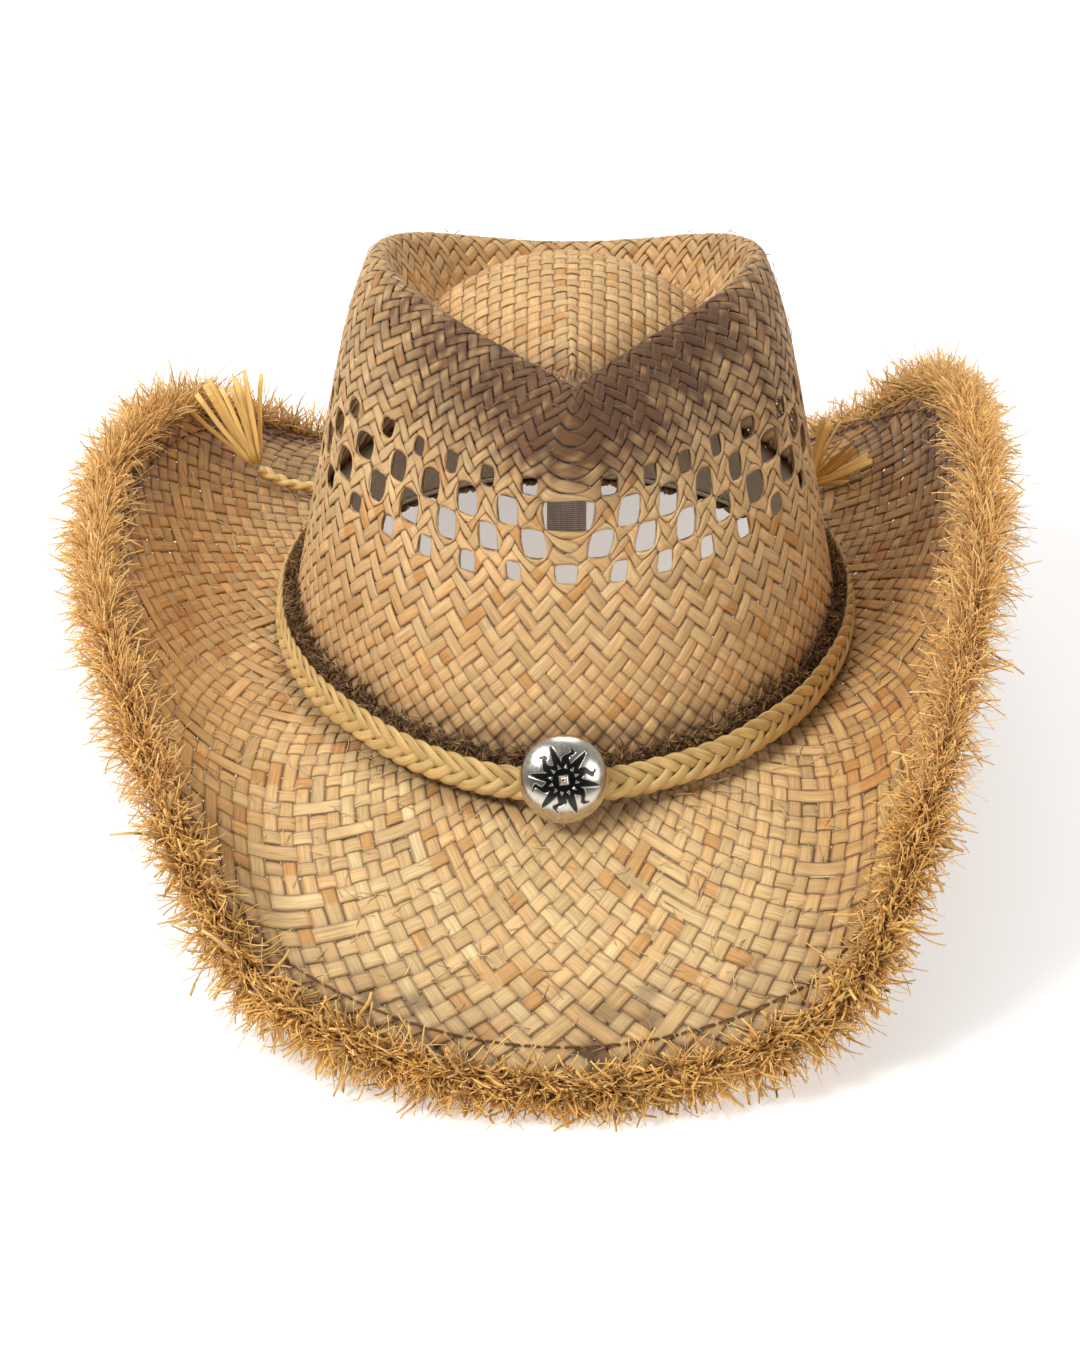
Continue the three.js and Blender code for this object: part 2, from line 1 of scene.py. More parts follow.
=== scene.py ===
import math
import bpy
import numpy as np
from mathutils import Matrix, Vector


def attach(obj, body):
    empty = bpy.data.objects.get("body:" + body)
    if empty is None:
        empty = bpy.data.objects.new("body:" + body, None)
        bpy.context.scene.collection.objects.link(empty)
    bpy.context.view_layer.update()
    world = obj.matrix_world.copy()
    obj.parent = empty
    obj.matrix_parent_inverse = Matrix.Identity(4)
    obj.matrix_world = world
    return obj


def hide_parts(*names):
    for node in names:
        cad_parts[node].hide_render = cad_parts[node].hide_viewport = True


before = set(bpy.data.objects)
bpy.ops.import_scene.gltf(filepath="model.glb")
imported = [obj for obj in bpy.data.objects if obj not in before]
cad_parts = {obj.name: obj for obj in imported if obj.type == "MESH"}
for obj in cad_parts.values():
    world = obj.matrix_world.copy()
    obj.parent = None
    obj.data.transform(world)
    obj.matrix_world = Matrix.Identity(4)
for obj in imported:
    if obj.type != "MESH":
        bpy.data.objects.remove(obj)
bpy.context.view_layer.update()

TAU = 2 * math.pi
MM = 0.001
rng = np.random.default_rng(20)

# -------------------- camera, light and floor

SHIFT = np.array([9.95, 0.5, 0.0])          # hat axes to row frame, mm
SENSOR_HEIGHT, CAMERA_LENS = 36, 104.2      # mm
CAMERA_PLACE = np.array([2.65, -1054.8, 618.5])
CAMERA_TARGET = np.array([-7.84, 0, 25.04])


def look_at(obj, target):
    direction = target - np.array(obj.location)
    obj.rotation_euler = Vector(direction).to_track_quat("-Z", "Y").to_euler()


camera = bpy.data.objects.new("camera", bpy.data.cameras.new("camera"))
bpy.context.collection.objects.link(camera)
bpy.context.scene.camera = camera
camera.data.sensor_fit = "VERTICAL"
camera.data.sensor_height = SENSOR_HEIGHT
camera.data.lens = CAMERA_LENS
camera.data.clip_end = 20
camera.location = (CAMERA_PLACE + SHIFT) * MM
look_at(camera, (CAMERA_TARGET + SHIFT) * MM)


def area_light(name, place, target_height, size, power):
    light = bpy.data.objects.new(name, bpy.data.lights.new(name, "AREA"))
    light.data.shape = "DISK"
    light.data.size = size
    light.data.energy = power
    light.location = place
    look_at(light, np.array([0, 0, target_height]))
    bpy.context.collection.objects.link(light)


area_light("key", (-1.15, -0.75, 1.55), 0.08, 0.7, 29)
area_light("fill", (1.35, -1.25, 0.95), 0.08, 0.9, 8)
area_light("top", (0.1, 0.5, 1.9), 0.05, 1.4, 9)

# Soft surroundings, dimmer in front of the hat, so that the concho has something dark to reflect.
world = bpy.data.worlds.new("studio")
bpy.context.scene.world = world
bpy.context.scene.view_settings.view_transform = "Standard"
world.use_nodes = True
sky = world.node_tree
direction = sky.nodes.new("ShaderNodeTexCoord")
split = sky.nodes.new("ShaderNodeSeparateXYZ")
front_dark = sky.nodes.new("ShaderNodeValToRGB")
front_stops = ((0.08, (0.12, 0.12, 0.13, 1)), (0.55, (1, 1, 1, 1)))
for element, (place, shade) in zip(front_dark.color_ramp.elements, front_stops):
    element.position = place
    element.color = shade
turned = sky.nodes.new("ShaderNodeMath")
turned.operation = "MULTIPLY_ADD"
turned.inputs[1].default_value = 0.5
turned.inputs[2].default_value = 0.5
sky.links.new(direction.outputs["Generated"], split.inputs[0])
sky.links.new(split.outputs["Y"], turned.inputs[0])
sky.links.new(turned.outputs[0], front_dark.inputs["Fac"])
sky.links.new(front_dark.outputs["Color"], sky.nodes["Background"].inputs[0])
sky.nodes["Background"].inputs[1].default_value = 0.5

# -------------------- meshes and materials


def make_mesh(name, points, faces, body, replaces, material, colours=None, strand=None):
    """Points in mm in hat axes; faces is a list of integer arrays, each with one face to a row."""
    mesh = bpy.data.meshes.new(name)
    groups = [np.asarray(g, dtype=np.int32) for g in faces]
    loops = np.concatenate([g.ravel() for g in groups])
    counts = np.concatenate([np.full(len(g), g.shape[1], dtype=np.int32) for g in groups])
    starts = np.concatenate([[0], np.cumsum(counts)[:-1]]).astype(np.int32)
    mesh.vertices.add(len(points))
    mesh.vertices.foreach_set("co", ((np.asarray(points) + SHIFT) * MM).astype(np.float32).ravel())
    mesh.loops.add(len(loops))
    mesh.loops.foreach_set("vertex_index", loops)
    mesh.polygons.add(len(counts))
    mesh.polygons.foreach_set("loop_start", starts)
    mesh.polygons.foreach_set("loop_total", counts)
    mesh.polygons.foreach_set("use_smooth", np.full(len(counts), True))
    mesh.update()
    mesh.validate()
    if colours is not None:
        layer = mesh.color_attributes.new("tint", "FLOAT_COLOR", "POINT")
        rgba = np.concatenate([colours, np.ones((len(colours), 1))], axis=1)
        layer.data.foreach_set("color", rgba.astype(np.float32).ravel())
    if strand is not None:
        layer = mesh.attributes.new("strand", "FLOAT_VECTOR", "POINT")
        layer.data.foreach_set("vector", np.asarray(strand, dtype=np.float32).ravel())
    mesh.materials.append(material)
    piece = bpy.data.objects.new(name, mesh)
    bpy.context.collection.objects.link(piece)
    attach(piece, body)
    if replaces:
        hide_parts(*replaces)
    return piece


def grid_faces(rows, columns, closed=False):
    """Quads of a grid whose rows close into a loop; closed joins the last column to the first as well."""
    i, j = np.meshgrid(np.arange(rows), np.arange(columns - (not closed)), indexing="ij")
    k, l = (i + 1) % rows, (j + 1) % columns
    m = columns
    return np.stack([i * m + j, i * m + l, k * m + l, k * m + j], axis=-1).reshape(-1, 4)


def linear(r, g, b):
    c = np.array([r, g, b]) / 255.0
    return np.where(c <= 0.04045, c / 12.92, ((c + 0.055) / 1.055) ** 2.4)


class Nodes:
    """A material's node tree with short calls for the few nodes used here."""

    def __init__(self, name, roughness, metallic=0.0, sheen=0.0):
        self.material = bpy.data.materials.new(name)
        self.material.use_nodes = True
        self.tree = self.material.node_tree
        self.shader = self.tree.nodes["Principled BSDF"]
        self.shader.inputs["Roughness"].default_value = roughness
        self.shader.inputs["Metallic"].default_value = metallic
        self.shader.inputs["Sheen Weight"].default_value = sheen

    def add(self, kind, **settings):
        node = self.tree.nodes.new(kind)
        for key, value in settings.items():
            setattr(node, key, value)
        return node

    def link(self, a, b):
        self.tree.links.new(a, b)

    def attribute(self, name, output):
        return self.add("ShaderNodeAttribute", attribute_name=name).outputs[output]

    def object_place(self):
        return self.add("ShaderNodeTexCoord").outputs["Object"]

    def noise(self, vector, scale, detail):
        stretched = self.add("ShaderNodeMapping")
        stretched.inputs["Scale"].default_value = scale
        self.link(vector, stretched.inputs["Vector"])
        node = self.add("ShaderNodeTexNoise")
        node.inputs["Scale"].default_value = 1.0
        node.inputs["Detail"].default_value = detail
        node.inputs["Roughness"].default_value = 0.6
        self.link(stretched.outputs["Vector"], node.inputs["Vector"])
        return node.outputs["Fac"]

    def ramp(self, value, stops):
        node = self.add("ShaderNodeValToRGB")
        elements = node.color_ramp.elements
        while len(elements) < len(stops):
            elements.new(0.5)
        for element, (place, colour) in zip(elements, stops):
            element.position = place
            element.color = (*colour, 1)
        self.link(value, node.inputs["Fac"])
        return node.outputs["Color"]

    def multiply(self, a, b):
        node = self.add("ShaderNodeMix", data_type="RGBA", blend_type="MULTIPLY")
        node.inputs[0].default_value = 1.0
        self.link(a, node.inputs[6])
        self.link(b, node.inputs[7])
        return node.outputs[2]

    def vary_roughness(self, value, low, high):
        node = self.add("ShaderNodeMapRange")
        node.inputs["To Min"].default_value = low
        node.inputs["To Max"].default_value = high
        self.link(value, node.inputs["Value"])
        self.link(node.outputs["Result"], self.shader.inputs["Roughness"])

    def bump(self, height, strength, distance):
        node = self.add("ShaderNodeBump")
        node.inputs["Strength"].default_value = strength
        node.inputs["Distance"].default_value = distance
        self.link(height, node.inputs["Height"])
        self.link(node.outputs["Normal"], self.shader.inputs["Normal"])


def straw_material(name, roughness=0.55, streak=0.30, bump=0.45, specular=0.4):
    """Dry raffia: the tint attribute, fine streaks along each strand and a little gloss on the strip."""
    m = Nodes(name, roughness, sheen=0.12)
    m.shader.inputs["Specular IOR Level"].default_value = specular
    strand = m.attribute("strand", "Vector")
    fine = m.noise(strand, (2.6, 0.10, 9.0), 3.0)
    broad = m.noise(strand, (0.7, 0.05, 5.0), 2.0)
    low = 1 - streak
    streaks = m.ramp(fine, [(0.30, (low, low * 0.97, low * 0.92)), (0.68, (1.08, 1.08, 1.06))])
    patches = m.ramp(broad, [(0.25, (0.86, 0.83, 0.76)), (0.75, (1.1, 1.1, 1.1))])
    tint = m.attribute("tint", "Color")
    m.link(m.multiply(m.multiply(tint, streaks), patches), m.shader.inputs["Base Color"])
    m.bump(fine, bump, 0.0004)
    return m.material


raffia = straw_material("raffia")
raffia_loose = straw_material("raffia_loose", roughness=0.7, streak=0.15, bump=0.2)
raffia_band = straw_material("raffia_band", roughness=0.55, streak=0.25, bump=0.4)

# -------------------- surfaces, as in the CAD part (mm)

JOIN_Z, HALF_W, HALF_L, STRAW = 44, 83, 102, 2
TAPER = 0.0022
BRIM_SIDE, BRIM_FRONT = 71.4, 98.5
SQUARENESS_FRONT, SQUARENESS_BACK = 2.03, 1.91
# where each side starts to curl, its radius, and how much that tightens towards the front and the back
CURL = {"left": (72.5, 73.3, 0.26, 0.17), "right": (65.6, 56.8, 0.22, 0.04)}
SLOPE_START, SLOPE_END = 40, 190
SLOPE_FRONT, SLOPE_BACK = (10.4, 27.2), (7.5, 30.4)     # degrees at the join and at the edge
CROWN_HEIGHT = 122
TIP_MIDDLE, TIP_TOP, TIP_VALLEY = 12, 115, 0.78         # where it is, its height, and the valley's share


def smooth(x, a, b):
    t = np.clip((x - a) / (b - a), 0, 1)
    return t * t * (3 - 2 * t)


def lerp(a, b, t):
    return a + (b - a) * t


def arch_walk(length, join, edge):
    """How far out and down a walk of some length along the brim's front or back slope gets."""
    steps = 24
    step = length / steps
    along = np.zeros_like(length)
    drop = np.zeros_like(length)
    for k in range(steps):
        at = (k + 0.5) * step
        ramp = np.maximum(at - SLOPE_START, 0) / (HALF_L - SLOPE_START)
        beyond = (at - HALF_L) / (SLOPE_END - HALF_L)
        angle = np.radians(np.where(beyond < 0, join * ramp ** 2, join + (edge - join) * beyond))
        along += np.cos(angle) * step
        drop += np.sin(angle) * step
    return along, drop


def brim_middle(phi, share):
    """The middle of the brim's thickness; share runs from 0 at the join to 1 at the edge."""
    sin, cos = np.sin(phi), np.cos(phi)
    power = 2 / np.where(cos > 0, SQUARENESS_FRONT, SQUARENESS_BACK)
    outer_x = (HALF_W + BRIM_SIDE) * np.sign(sin) * np.abs(sin) ** power
    outer_y = -(HALF_L + BRIM_FRONT) * np.sign(cos) * np.abs(cos) ** power
    flat_x = lerp(HALF_W * sin, outer_x, share)
    flat_y = lerp(-HALF_L * cos, outer_y, share)
    left, front = flat_x < 0, flat_y < 0
    start, radius, ahead, behind = [np.where(left, a, b) for a, b in zip(CURL["left"], CURL["right"])]
    radius = radius * np.maximum(1 - np.where(front, ahead, behind) * (flat_y / HALF_L) ** 2, 0.4)
    turn = np.maximum(np.abs(flat_x) - start, 0) / radius
    walks = [arch_walk(np.abs(flat_y), *slope) for slope in (SLOPE_FRONT, SLOPE_BACK)]
    along, drop = [np.where(front, a, b) for a, b in zip(*walks)]
    x = np.sign(flat_x) * (np.minimum(np.abs(flat_x), start) + radius * np.sin(turn))
    z = JOIN_Z + radius * (1 - np.cos(turn)) - drop
    return np.stack([x, np.sign(flat_y) * along, z], axis=-1)


def wall_point(phi, height, outward=0.0):
    scale = 1 - TAPER * height
    nx, ny = np.sin(phi) / HALF_W, -np.cos(phi) / HALF_L
    size = np.hypot(nx, ny)
    x = (HALF_W + STRAW) * scale * np.sin(phi) + outward * nx / size
    y = -(HALF_L + STRAW) * scale * np.cos(phi) + outward * ny / size
    return np.stack(np.broadcast_arrays(x, y, JOIN_Z + height), axis=-1)


def crest_point(phi):
    turn = np.abs(np.arctan2(np.sin(phi), np.cos(phi)))
    cos = np.cos(phi)
    pinch = smooth(turn, math.radians(-8), math.radians(110))
    x = 59 * np.sin(phi) * pinch + 3 * np.maximum(cos, 0) ** 4
    y = -np.where(cos > 0, 77, 75) * cos
    drop = np.where(cos > 0, 9, 25) * cos * cos
    return np.stack([x, y, JOIN_Z + CROWN_HEIGHT - drop], axis=-1)


def leaning_wall(phi, height):
    crest = crest_point(phi)
    turn = np.abs(np.arctan2(np.sin(phi), np.cos(phi)))
    power = lerp(3.5, 14, smooth(turn, math.radians(55), math.radians(100)))
    share = np.clip(height / (crest[..., 2] - JOIN_Z), 0, 1) ** power
    oval = wall_point(phi, height)
    out = oval + (crest - oval) * share[..., None]
    out[..., 2] = oval[..., 2]
    return out


def tip_point(phi, ring):
    crest = crest_point(phi)
    cos = np.cos(phi)
    depth = np.where(cos > 0, 26 - 21 * cos * cos, 26 - 10 * cos * cos)
    x = crest[..., 0] * ring
    y = TIP_MIDDLE + (crest[..., 1] - TIP_MIDDLE) * ring
    valley = crest[..., 2] - depth
    top = JOIN_Z + TIP_TOP
    fall = (ring - TIP_VALLEY) / (1 - TIP_VALLEY)
    z = np.where(ring <= TIP_VALLEY, top - (top - valley) * (np.maximum(ring, 0) / TIP_VALLEY) ** 2.2,
                 lerp(valley, crest[..., 2], smooth(fall, -0.15, 1)))
    return np.stack([x, y, z], axis=-1)


class Sheet:
    """A surface table: first axis goes round the hat once, second axis from low to high v."""

    def __init__(self, points, low, high):
        self.points = points
        self.low, self.high = low, high
        du = np.roll(points, -1, axis=0) - np.roll(points, 1, axis=0)
        dv = np.gradient(points, axis=1)
        normal = np.cross(du, dv)
        normal /= np.maximum(np.linalg.norm(normal, axis=-1, keepdims=True), 1e-9)
        self.normals = normal

    def at(self, u, v):
        """u in turns, v in the table's own units."""
        nu, nv = self.points.shape[:2]
        a = np.mod(u, 1.0) * nu
        b = np.clip((v - self.low) / (self.high - self.low), 0, 1) * (nv - 1)
        i = np.floor(a).astype(int)
        j = np.minimum(np.floor(b).astype(int), nv - 2)
        fa, fb = (a - i)[..., None], (b - j)[..., None]
        i0, i1 = i % nu, (i + 1) % nu

        def mix(table):
            low = table[i0, j] * (1 - fa) + table[i1, j] * fa
            high = table[i0, j + 1] * (1 - fa) + table[i1, j + 1] * fa
            return low * (1 - fb) + high * fb
        return mix(self.points), mix(self.normals)


# Brim: v counts crossings outward from the join.
BRIM_STRANDS = 112
BRIM_LOW, BRIM_HIGH = -0.03, 1.06
brim_phi = np.arange(720) / 720 * TAU
brim_table = brim_middle(brim_phi[:, None], np.linspace(BRIM_LOW, BRIM_HIGH, 110)[None, :])
brim_sheet = Sheet(brim_table, BRIM_LOW, BRIM_HIGH)
if brim_sheet.normals[0, 40, 2] < 0:
    brim_sheet.normals *= -1

# The crossings' pitch falls by 1.17 mm from the join to the edge, over a mean width of 84 mm.
MEAN_WIDTH, JOIN_PITCH, PITCH_FALL = 84, 7.67, 1.17


def brim_v(share):
    """Crossings between the join and a share of the way to the edge."""
    return (MEAN_WIDTH / PITCH_FALL) * np.log(JOIN_PITCH / (JOIN_PITCH - PITCH_FALL * share))


share_steps = np.linspace(BRIM_LOW, BRIM_HIGH, 400)
crossings_there = brim_v(share_steps)


def brim_share(v):
    return np.interp(v, crossings_there, share_steps)


def brim_at(u, v):
    return brim_sheet.at(u, brim_share(v))


# Crown: v counts crossings up from the join; above the vents it follows the length of the surface.
CROWN_STRANDS = 90
VENT_V = 11.0
VENT_HEIGHT, WALL_PITCH = 62.7, 6.17
V_SHIFT = VENT_V + math.log(1 - TAPER * VENT_HEIGHT) / (TAPER * WALL_PITCH)
TOP_PITCH = 4.75
LEAVE = 88.0                                # where the rows leave the tapered wall's own pitch


def wall_v(height):
    return V_SHIFT - np.log(1 - TAPER * height) / (TAPER * WALL_PITCH)


def distances(path):
    """How far along a path each of its points is."""
    return np.concatenate([[0], np.cumsum(np.linalg.norm(np.diff(path, axis=0), axis=1))])


def crown_columns():
    """The crown as columns from the join up over the ridge, with each one's end and crest in crossings."""
    count = 720
    crest_phi = np.linspace(0, TAU, 2881)
    line = crest_point(crest_phi)
    length = distances(line)
    turns = np.arange(count) / count
    even = np.interp(turns * length[-1], length, crest_phi)
    even = lerp(turns * TAU, even, 0.8)
    columns = []
    v_grid = np.linspace(-1.3, 46, 474)
    for k, turn in enumerate(turns):
        own, far = turn * TAU, even[k]
        crest = crest_point(np.array(far))
        top = crest[2] - JOIN_Z
        heights = np.linspace(-7.0, top - 6, 124)
        mix = smooth(heights, 52, top - 8)
        wall = leaning_wall(lerp(own, far, mix), heights)
        rings = np.linspace(0.93, 0.70, 24)
        tip = tip_point(np.full_like(rings, far), rings)
        t = np.linspace(0, 1, 14)[1:-1, None]
        ridge = (1 - t) ** 2 * wall[-1] + 2 * t * (1 - t) * crest + t ** 2 * tip[0]
        path = np.concatenate([wall, ridge, tip])
        step = distances(path)
        v = np.empty(len(path))
        low = heights <= LEAVE
        v[:len(heights)][low] = wall_v(heights[low])
        last = np.count_nonzero(low) - 1
        v[last:] = v[last] + (step[last:] - step[last]) / TOP_PITCH
        column = np.stack([np.interp(v_grid, v, path[:, c]) for c in range(3)], axis=-1)
        columns.append((column, v[-1], v[len(heights) - 1] + 0.8))
    ends = np.array([c[1] for c in columns])
    crests = np.array([c[2] for c in columns])
    return np.stack([c[0] for c in columns]), ends, crests, v_grid


crown_table, crown_end, crown_crest, crown_grid = crown_columns()
crown_sheet = Sheet(crown_table, crown_grid[0], crown_grid[-1])
if crown_sheet.normals[180, 60, 0] * crown_table[180, 60, 0] < 0:
    crown_sheet.normals *= -1


def column_value(table, u):
    return np.interp(np.mod(u, 1.0) * len(table), np.arange(len(table) + 1), np.append(table, table[0]))


def crown_at(u, v):
    p, n = crown_sheet.at(u, v)
    return p - n * (STRAW / 2), n


# -------------------- weaving


def ribbon_faces(strands, along, around):
    """Quads of closed ribbons with `around` points in each of `along` sections."""
    s = np.arange(strands)[:, None, None] * (along * around)
    t = np.arange(along - 1)[None, :, None] * around
    k = np.arange(around)[None, None, :]
    k2 = (k + 1) % around
    a, b = s + t + k, s + t + k2
    c, d = b + around, a + around
    return np.stack([a, b, c, d], axis=-1)


SECTION_ACROSS = np.array([-0.5, -0.27, 0.27, 0.5, 0.0])
SECTION_UP = np.array([0.0, 1.0, 1.0, 0.0, -1.0])


def plain_weave(i, j):
    return np.where((i + j) % 2 == 0, 1.0, -1.0)


def twill_weave(i, j):
    return np.where((i + j) % 4 < 2, 1.0, -1.0)


VENT_STEPS = (0, 0.025, 0.07, 0.2, 0.5, 0.8, 0.93, 0.975)
CELL_STEPS = (0, 0.25, 0.5, 0.75)
STRIP_LENGTH = 5.0                          # mm of strip in one cell, for the streaks


def strand_place(shape, across, along):
    """Each point's place across and along its strand, for the streaks, with a random third number per strand."""
    which = rng.uniform(0, 50, (shape[0], 1, 1))
    return np.stack([np.broadcast_to(part, shape[:3]) for part in (across, along, which)], axis=-1)


def weave_family(surface, family, count, v_low, v_high, pattern, strip, colour_of, warp=None, keep=None):
    """One family of diagonal strands. family +1 climbs with +u, family -1 with -u.

    With p = u - v and q = u + v, in strands, a strand of the first family keeps p and runs in q, and one of
    the second keeps q and runs in p. strip is its half width, thickness and rise. Returns the points, which
    sections are kept, the colours and the strand coordinates.
    """
    half, thick, amplitude = strip
    cells = int(math.ceil(2 * (v_high - v_low))) + 2
    near_vents = [warp is not None and abs(v_low + c / 2 - VENT_V - 2.25) < 3.6 for c in range(cells)]
    marks = np.concatenate([c + np.array(VENT_STEPS if near_vents[c] else CELL_STEPS) for c in range(cells)])
    own = np.arange(count)
    mid = own + 0.5
    start_cell = np.floor(mid + 2 * v_low * family).astype(int)
    run = start_cell[:, None] + family * marks
    width_jitter = 1 + rng.normal(0, 0.035, count)
    offset = rng.normal(0, 0.03, (count, cells + 3)).cumsum(axis=1) * 0.25
    offset -= offset.mean(axis=1, keepdims=True)
    offset = np.clip(offset, -0.09, 0.09)
    k0 = np.floor(marks).astype(int)
    drift = offset[:, k0] * (1 - (marks - k0)) + offset[:, k0 + 1] * (marks - k0)
    across = SECTION_ACROSS * 2 * half * width_jitter[:, None, None]
    beside = across + drift[:, :, None]
    run_c = np.broadcast_to(run[:, :, None], beside.shape)
    if warp is not None:
        level = np.abs((run_c - mid[:, None, None]) * family / 2 - VENT_V - 2.25)
        beside = np.where(level < 5, np.clip(beside, -0.478, 0.478), beside)
    own_c = mid[:, None, None] + beside
    u, v = (own_c + run_c) / 2, family * (run_c - own_c) / 2
    # over and under, read at the strand's middle
    centre = run - 0.5
    cell = np.floor(centre).astype(int)
    ease = smooth(np.clip((centre - cell - 0.5) * 1.5 + 0.5, 0, 1), 0, 1)
    i = own[:, None]
    here, there = [pattern(i, c) if family > 0 else pattern(c, i) for c in (cell, cell + 1)]
    height = family * lerp(here, there, ease)
    if warp is not None:
        u, v = warp(u, v)
    base, normal = surface(u / count, v)
    lift = height[:, :, None] * amplitude + SECTION_UP * thick
    lift = lift + rng.normal(0, 0.05, (count, 1, 1))
    points = base + normal * lift[..., None]
    colours = colour_of(points, height, own, run, u / count, v)
    length = (marks * STRIP_LENGTH)[:, None] + rng.uniform(0, 500, (count, 1, 1))
    strand = strand_place(own_c.shape, across * STRIP_LENGTH, length)
    mid_v = v[:, :, 4]
    inside = (mid_v > v_low) & (mid_v < v_high)
    if keep is not None:
        inside &= keep(u[:, :, 4] / count, mid_v)
    return points, inside[:, :-1] & inside[:, 1:], colours, strand


def ribbon_piece(name, ribbons, body, replaces, material):
    """Makes one mesh of many ribbons, dropping hidden sections and closing the ends of what is left."""
    points, ok, colours, strands = ribbons
    count, along, around = points.shape[:3]
    quads = ribbon_faces(count, along, around)[ok].reshape(-1, 4)
    section = np.arange(count * along).reshape(count, along) * around
    before, after = np.zeros_like(ok), np.zeros_like(ok)
    before[:, 1:] = ok[:, :-1]
    after[:, :-1] = ok[:, 1:]
    starts = section[:, :-1][ok & ~before]
    ends = section[:, 1:][ok & ~after]
    ring = np.arange(around)
    caps = np.concatenate([starts[:, None] + ring[::-1], ends[:, None] + ring])
    used, index = np.unique(quads, return_inverse=True)
    place = np.zeros(count * along * around, dtype=int)
    place[used] = np.arange(len(used))
    points, colours, strands = [table.reshape(-1, 3)[used] for table in (points, colours, strands)]
    faces = [index.reshape(quads.shape), place[caps]]
    return make_mesh(name, points, faces, body, replaces, material, colours, strands)


# -------------------- colour of the raffia

CROWN_PALE = linear(234, 192, 136)
BRIM_PALE = linear(236, 198, 142)
SLIVER = linear(208, 138, 52)
SPRAY = linear(70, 48, 24)


def value_noise(points, scale, seed):
    """Smooth random field from a few sines, between about 0 and 1."""
    r = np.random.default_rng(seed)
    total = 0
    for _ in range(7):
        k = r.normal(0, 1, 3)
        k /= np.linalg.norm(k)
        total = total + np.sin(points @ (k * TAU / scale * r.uniform(0.6, 1.8)) + r.uniform(0, TAU))
    return 0.5 + total / 10


def strand_tint(base, count, height, own, run, amount=0.06, slivers=0.05):
    """Base colour with a random tone per strand and per float, and painted shade where the strand dives under.
    """
    shade = 1 + rng.normal(0, amount, (count, 1, 1))
    warm = rng.normal(0, 0.035, (count, 1, 1))
    floats = np.floor(run / 2).astype(int)
    table = rng.normal(0, 1, (count, 64))
    per_float = table[own[:, None], floats % 64]
    level = shade * (1 + 0.05 * per_float[..., None])
    # painted shade: each strand, and any sliver on it, is darkened where it dives under the crossing strand
    painted_dive_shade = lerp(0.76, 1.0, smooth(height, -1.0, 0.6))[..., None]
    colour = base * (level * painted_dive_shade)[..., None] * np.stack(
        [np.ones_like(warm), 1 - warm, 1 - 2 * warm], axis=-1)
    mark = (rng.uniform(0, 1, (count, 64))[own[:, None], floats % 64] < slivers)[..., None, None]
    return np.where(mark, lerp(colour, SLIVER * painted_dive_shade[..., None], 0.55), colour)


def sprayed(colour, amount, height):
    """Dark spray over a colour, laid thicker in the weave's hollows and thinner on the strands that stand proud.
    """
    # darker in the hollows of the weave, lighter on the strands that stand proud
    worn = lerp(1.25, 0.62, smooth(height, -0.5, 1.0))
    amount = np.clip(amount * worn[..., None], 0, 0.94)[..., None]
    return colour * (1 - amount) + SPRAY * amount * (0.45 + 0.85 * colour / colour.mean())


def crown_colour(points, height, own, run, u, v):
    colour = strand_tint(CROWN_PALE, len(own), height, own, run)
    near_crest = v - column_value(crown_crest, u)
    x, y, z = points[..., 0], points[..., 1], points[..., 2] - JOIN_Z
    front = smooth(-y, -12, 35)
    ridge = smooth(near_crest, -11.5, -0.5) * (1 - smooth(near_crest, 0.8, 4.5))
    ridge = ridge * (0.25 + 0.75 * front) * (1 + 0.25 * smooth(x, 0, 40))
    below_notch = front * smooth(-np.abs(x - 6), -66, -8) * smooth(z, 76, 108)
    side = smooth(x, 40, 74) * smooth(z, 55, 98) * 0.6 + smooth(-x, 55, 80) * smooth(z, 70, 105) * 0.45
    base = 1 - smooth(z, 14, 25)
    speck = 0.45 + value_noise(points, 5.5, 3) * (0.35 + value_noise(points, 27, 4)) * 1.25
    amount = (1.0 * ridge + 0.95 * below_notch + side + 0.75 * base) * speck
    return sprayed(colour, amount, height)


def brim_colour(points, height, own, run, u, v):
    colour = strand_tint(BRIM_PALE, len(own), height, own, run, slivers=0.08)
    share = brim_share(v)
    x, y = points[..., 0], points[..., 1]
    # darker towards the rim: the first step is the real spray at the edge; the second, outermost step adds
    # painted shadow just inside the fringe
    edge = 0.75 * smooth(share, 0.60, 0.9) + 0.75 * smooth(share, 0.84, 0.97)
    right = smooth(x, 50, 112)
    left = smooth(-x, 70, 128)
    back = smooth(y, 10, 110)
    near = 1 - smooth(share, 0.0, 0.16)
    speck = 0.55 + value_noise(points, 14, 8) * value_noise(points, 47, 9) * 2.0
    amount = (0.62 * edge + 0.36 * right + 0.10 * left + 0.30 * back + 0.42 * near) * speck
    golden = np.array([0.96, 0.74, 0.40])
    colour = colour * lerp(1.0, golden, np.clip(0.9 * left + 0.8 * right, 0, 1)[..., None])
    return sprayed(colour, amount, height)


# -------------------- vents

VENT_ROWS = ((0.0, 0.0, 3.3), (1.5, 1.5, 4.7), (3.0, 0.0, 4.7), (4.5, 1.5, 3.1))   # rise, turn, radius
VENTS_ROUND = CROWN_STRANDS // 3
vent_noise = rng.normal(0, 0.05, (len(VENT_ROWS), VENTS_ROUND))


